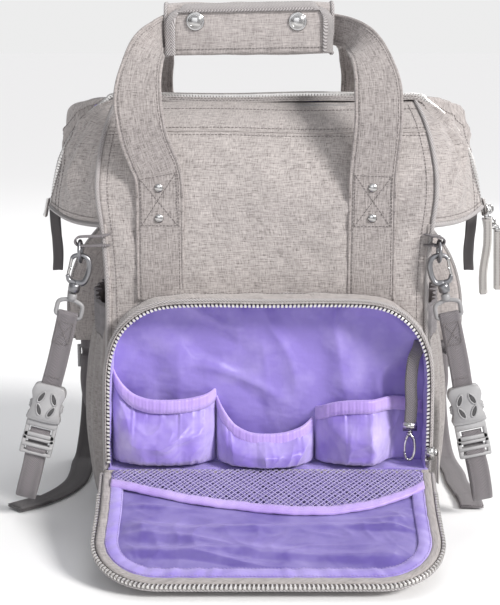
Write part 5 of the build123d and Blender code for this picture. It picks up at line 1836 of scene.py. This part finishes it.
def shoulder_straps():
    for hand in HANDS:
        shoulder_pad(hand)
        shoulder_webbing(hand)
        ladder_lock(hand)
        strap_anchor(hand)


PAD_X, PAD_Z = 62, 172
PAD_HALF_WIDTH, PAD_HALF_HEIGHT, PAD_CORNER = 52, 116, 24


def back_pads():
    """Two padded back panels, each quilted by three lines across."""
    for hand, letter in HANDS.items():
        a = np.linspace(-1, 1, 41)
        c = np.linspace(-1, 1, 81)[:, None]
        flat_a, flat_c = np.abs(a), np.abs(c)
        # the sides draw in at the corners to round them
        x = hand * PAD_X + a * PAD_HALF_WIDTH * (
            1 - 0.5 * PAD_CORNER / PAD_HALF_WIDTH * flat_a ** 6 * flat_c ** 10)
        z = PAD_Z + c * PAD_HALF_HEIGHT * (
            1 - 0.5 * PAD_CORNER / PAD_HALF_HEIGHT * flat_c ** 6 * flat_a ** 8)
        puff = 7.5 * (1 - flat_a ** 5) ** 0.5 * (1 - flat_c ** 12) ** 0.5
        for line in (-0.5, 0.0, 0.5):
            puff = puff * (1 - 0.75 * np.exp(-((c - line) / 0.022) ** 2))
        grid = points(x, 97.8 + puff, z)
        name = "back_pad_" + letter
        sheet(name, grid, 1.6, "pad", "bag", hand < 0 and "back_pads", side=-1)
        rim = np.vstack([grid[0], grid[1:, -1], grid[-1, ::-1][1:], grid[::-1, 0][1:-1]])
        tubes(name + "_binding", [rim + Y_AXIS * 0.6], 2.0, "bind", "bag", closed=True)


def shoulder_yoke():
    """Cloth band across the back where the shoulder straps start."""
    across = np.linspace(-1, 1, 50)
    up = np.linspace(0, 1, 14)[:, None]
    grid = points(across * 104, 100.8 + 2.6 * np.sin(math.pi * up) * (1 - across ** 8),
                  296 + 36 * up)
    sheet("shoulder_yoke", grid, 2.4, "shell", "bag", side=-1)
    seams("shoulder_yoke_stitch", [(grid[i] + Y_AXIS * 0.4, Y_AXIS) for i in (2, 11)], "bag")


def compartment():
    """Elastic pocket on the inside of the back wall, and the lining of the floor."""
    grid = gathered(-118, 118, 176, 172, 176, 9, 133, cols=81, rows=20)
    grid[..., 1] = 84.0 - np.clip(POCKET_WALL_Y - grid[..., 1], 0, 14)
    grid[..., 2] += 6
    sheet("inner_pocket_satin", grid, LINING_THICK, "satin_gathered", "bag",
          slot="lining_fabric")
    i, j = np.arange(10)[:, None], np.arange(20)
    sheet("floor_lining", points(-150 + 300 * j / 19, -86 + 172 * i / 9,
                                 10.5 + 0.6 * np.sin(i * 1.3 + j)), 1.0, "satin", "bag")


# CAD pieces shown as they are; any other node gets the shell cloth
CARRIED = {"stiffeners": "board", "grip_core": "foam", "snap_studs": "chrome",
           "front_wire": "wire", "back_wire": "wire"}


def paint_cad_nodes():
    for name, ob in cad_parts.items():
        ob.data.materials.clear()
        ob.data.materials.append(MATERIALS[CARRIED.get(name, "shell")][1])


# ================================================== stage, light and camera (metres)
def stage_floor():
    bpy.ops.mesh.primitive_plane_add(size=80, location=(0, 0, -0.0005))
    floor = bpy.context.object
    floor.name = "floor"
    material = bpy.data.materials.new("floor")
    material.use_nodes = True
    inputs = material.node_tree.nodes["Principled BSDF"].inputs
    inputs["Base Color"].default_value = (0.91, 0.91, 0.91, 1)
    inputs["Roughness"].default_value = 0.8
    inputs["Specular IOR Level"].default_value = 0.15
    floor.data.materials.append(material)


def studio_world():
    """Soft bluish light on the bag; the camera itself sees plain light grey."""
    world = bpy.data.worlds.new("studio")
    bpy.context.scene.world = world
    world.use_nodes = True
    nodes, links = world.node_tree.nodes, world.node_tree.links
    light = nodes["Background"]
    light.inputs["Color"].default_value = (0.95, 0.96, 1.0, 1)
    light.inputs["Strength"].default_value = 0.40
    rays = nodes.new("ShaderNodeLightPath")
    seen = nodes.new("ShaderNodeBackground")
    seen.inputs["Color"].default_value = (0.845, 0.845, 0.845, 1)
    seen.inputs["Strength"].default_value = 1.0
    mix = nodes.new("ShaderNodeMixShader")
    links.new(rays.outputs["Is Camera Ray"], mix.inputs[0])
    links.new(light.outputs[0], mix.inputs[1])
    links.new(seen.outputs[0], mix.inputs[2])
    links.new(mix.outputs[0], nodes["World Output"].inputs["Surface"])


def place_light(name, light, direction):
    """Object for the light, shining along direction."""
    ob = bpy.data.objects.new(name, light)
    bpy.context.scene.collection.objects.link(ob)
    ob.rotation_euler = direction.to_track_quat("-Z", "Y").to_euler()
    return ob


def area_light(name, location, target, size, power, colour=(1, 1, 1)):
    light = bpy.data.lights.new(name, "AREA")
    light.shape = "RECTANGLE"
    light.size, light.size_y = size
    light.energy = power
    light.color = colour
    place_light(name, light, Vector(target) - Vector(location)).location = location


def lights():
    sun = bpy.data.lights.new("key", "SUN")
    sun.energy = 3.5
    sun.angle = math.radians(16)
    sun.color = (1, 0.985, 0.965)
    place_light("key", sun, -Vector((1.65, -1.25, 1.30)))
    area_light("fill", location=(-0.3, -2.4, 0.9), target=(0, 0, 0.2), size=(1.6, 1.4),
               power=8, colour=(0.96, 0.98, 1))
    area_light("top", location=(0.2, 0.2, 2.2), target=(0, 0, 0.2), size=(1.6, 1.2), power=10)
    area_light("rim", location=(0.9, 1.9, 1.3), target=(0, 0, 0.3), size=(1.4, 0.9), power=14)


CAMERA_PLACE = (-0.0165, -1.40, 0.480)
CAMERA_PITCH = 11.13                     # degrees below level
SENSOR_HEIGHT, FOCAL_LENGTH = 24.0, 53.553719


def camera():
    scene = bpy.context.scene
    scene.view_settings.view_transform = "Standard"
    scene.view_settings.look = "None"
    lens = bpy.data.cameras.new("camera")
    lens.sensor_fit = "VERTICAL"
    lens.sensor_height = SENSOR_HEIGHT
    lens.lens = FOCAL_LENGTH
    lens.clip_end = 50
    ob = bpy.data.objects.new("camera", lens)
    scene.collection.objects.link(ob)
    ob.location = CAMERA_PLACE
    ob.rotation_euler = (math.radians(90 - CAMERA_PITCH), 0, 0)
    scene.camera = ob


BUILD_ORDER = (
    shell_cloth, wings, shell_seams, mouth_linings, side_gussets, base, side_pockets,
    main_zip, zip_tails, handles, grip_wrap, grip_flap, snap_domes,
    pocket_gusset, pocket_zip, pocket_lining, gathered_pockets,
    flap_cloth, flap_satin, flap_edges, mesh_pocket, key_leash, main_sliders, pocket_slider,
    stroller_straps, shoulder_straps, back_pads, shoulder_yoke, compartment,
    paint_cad_nodes, stage_floor, studio_world, lights, camera)
for build in BUILD_ORDER:
    build()
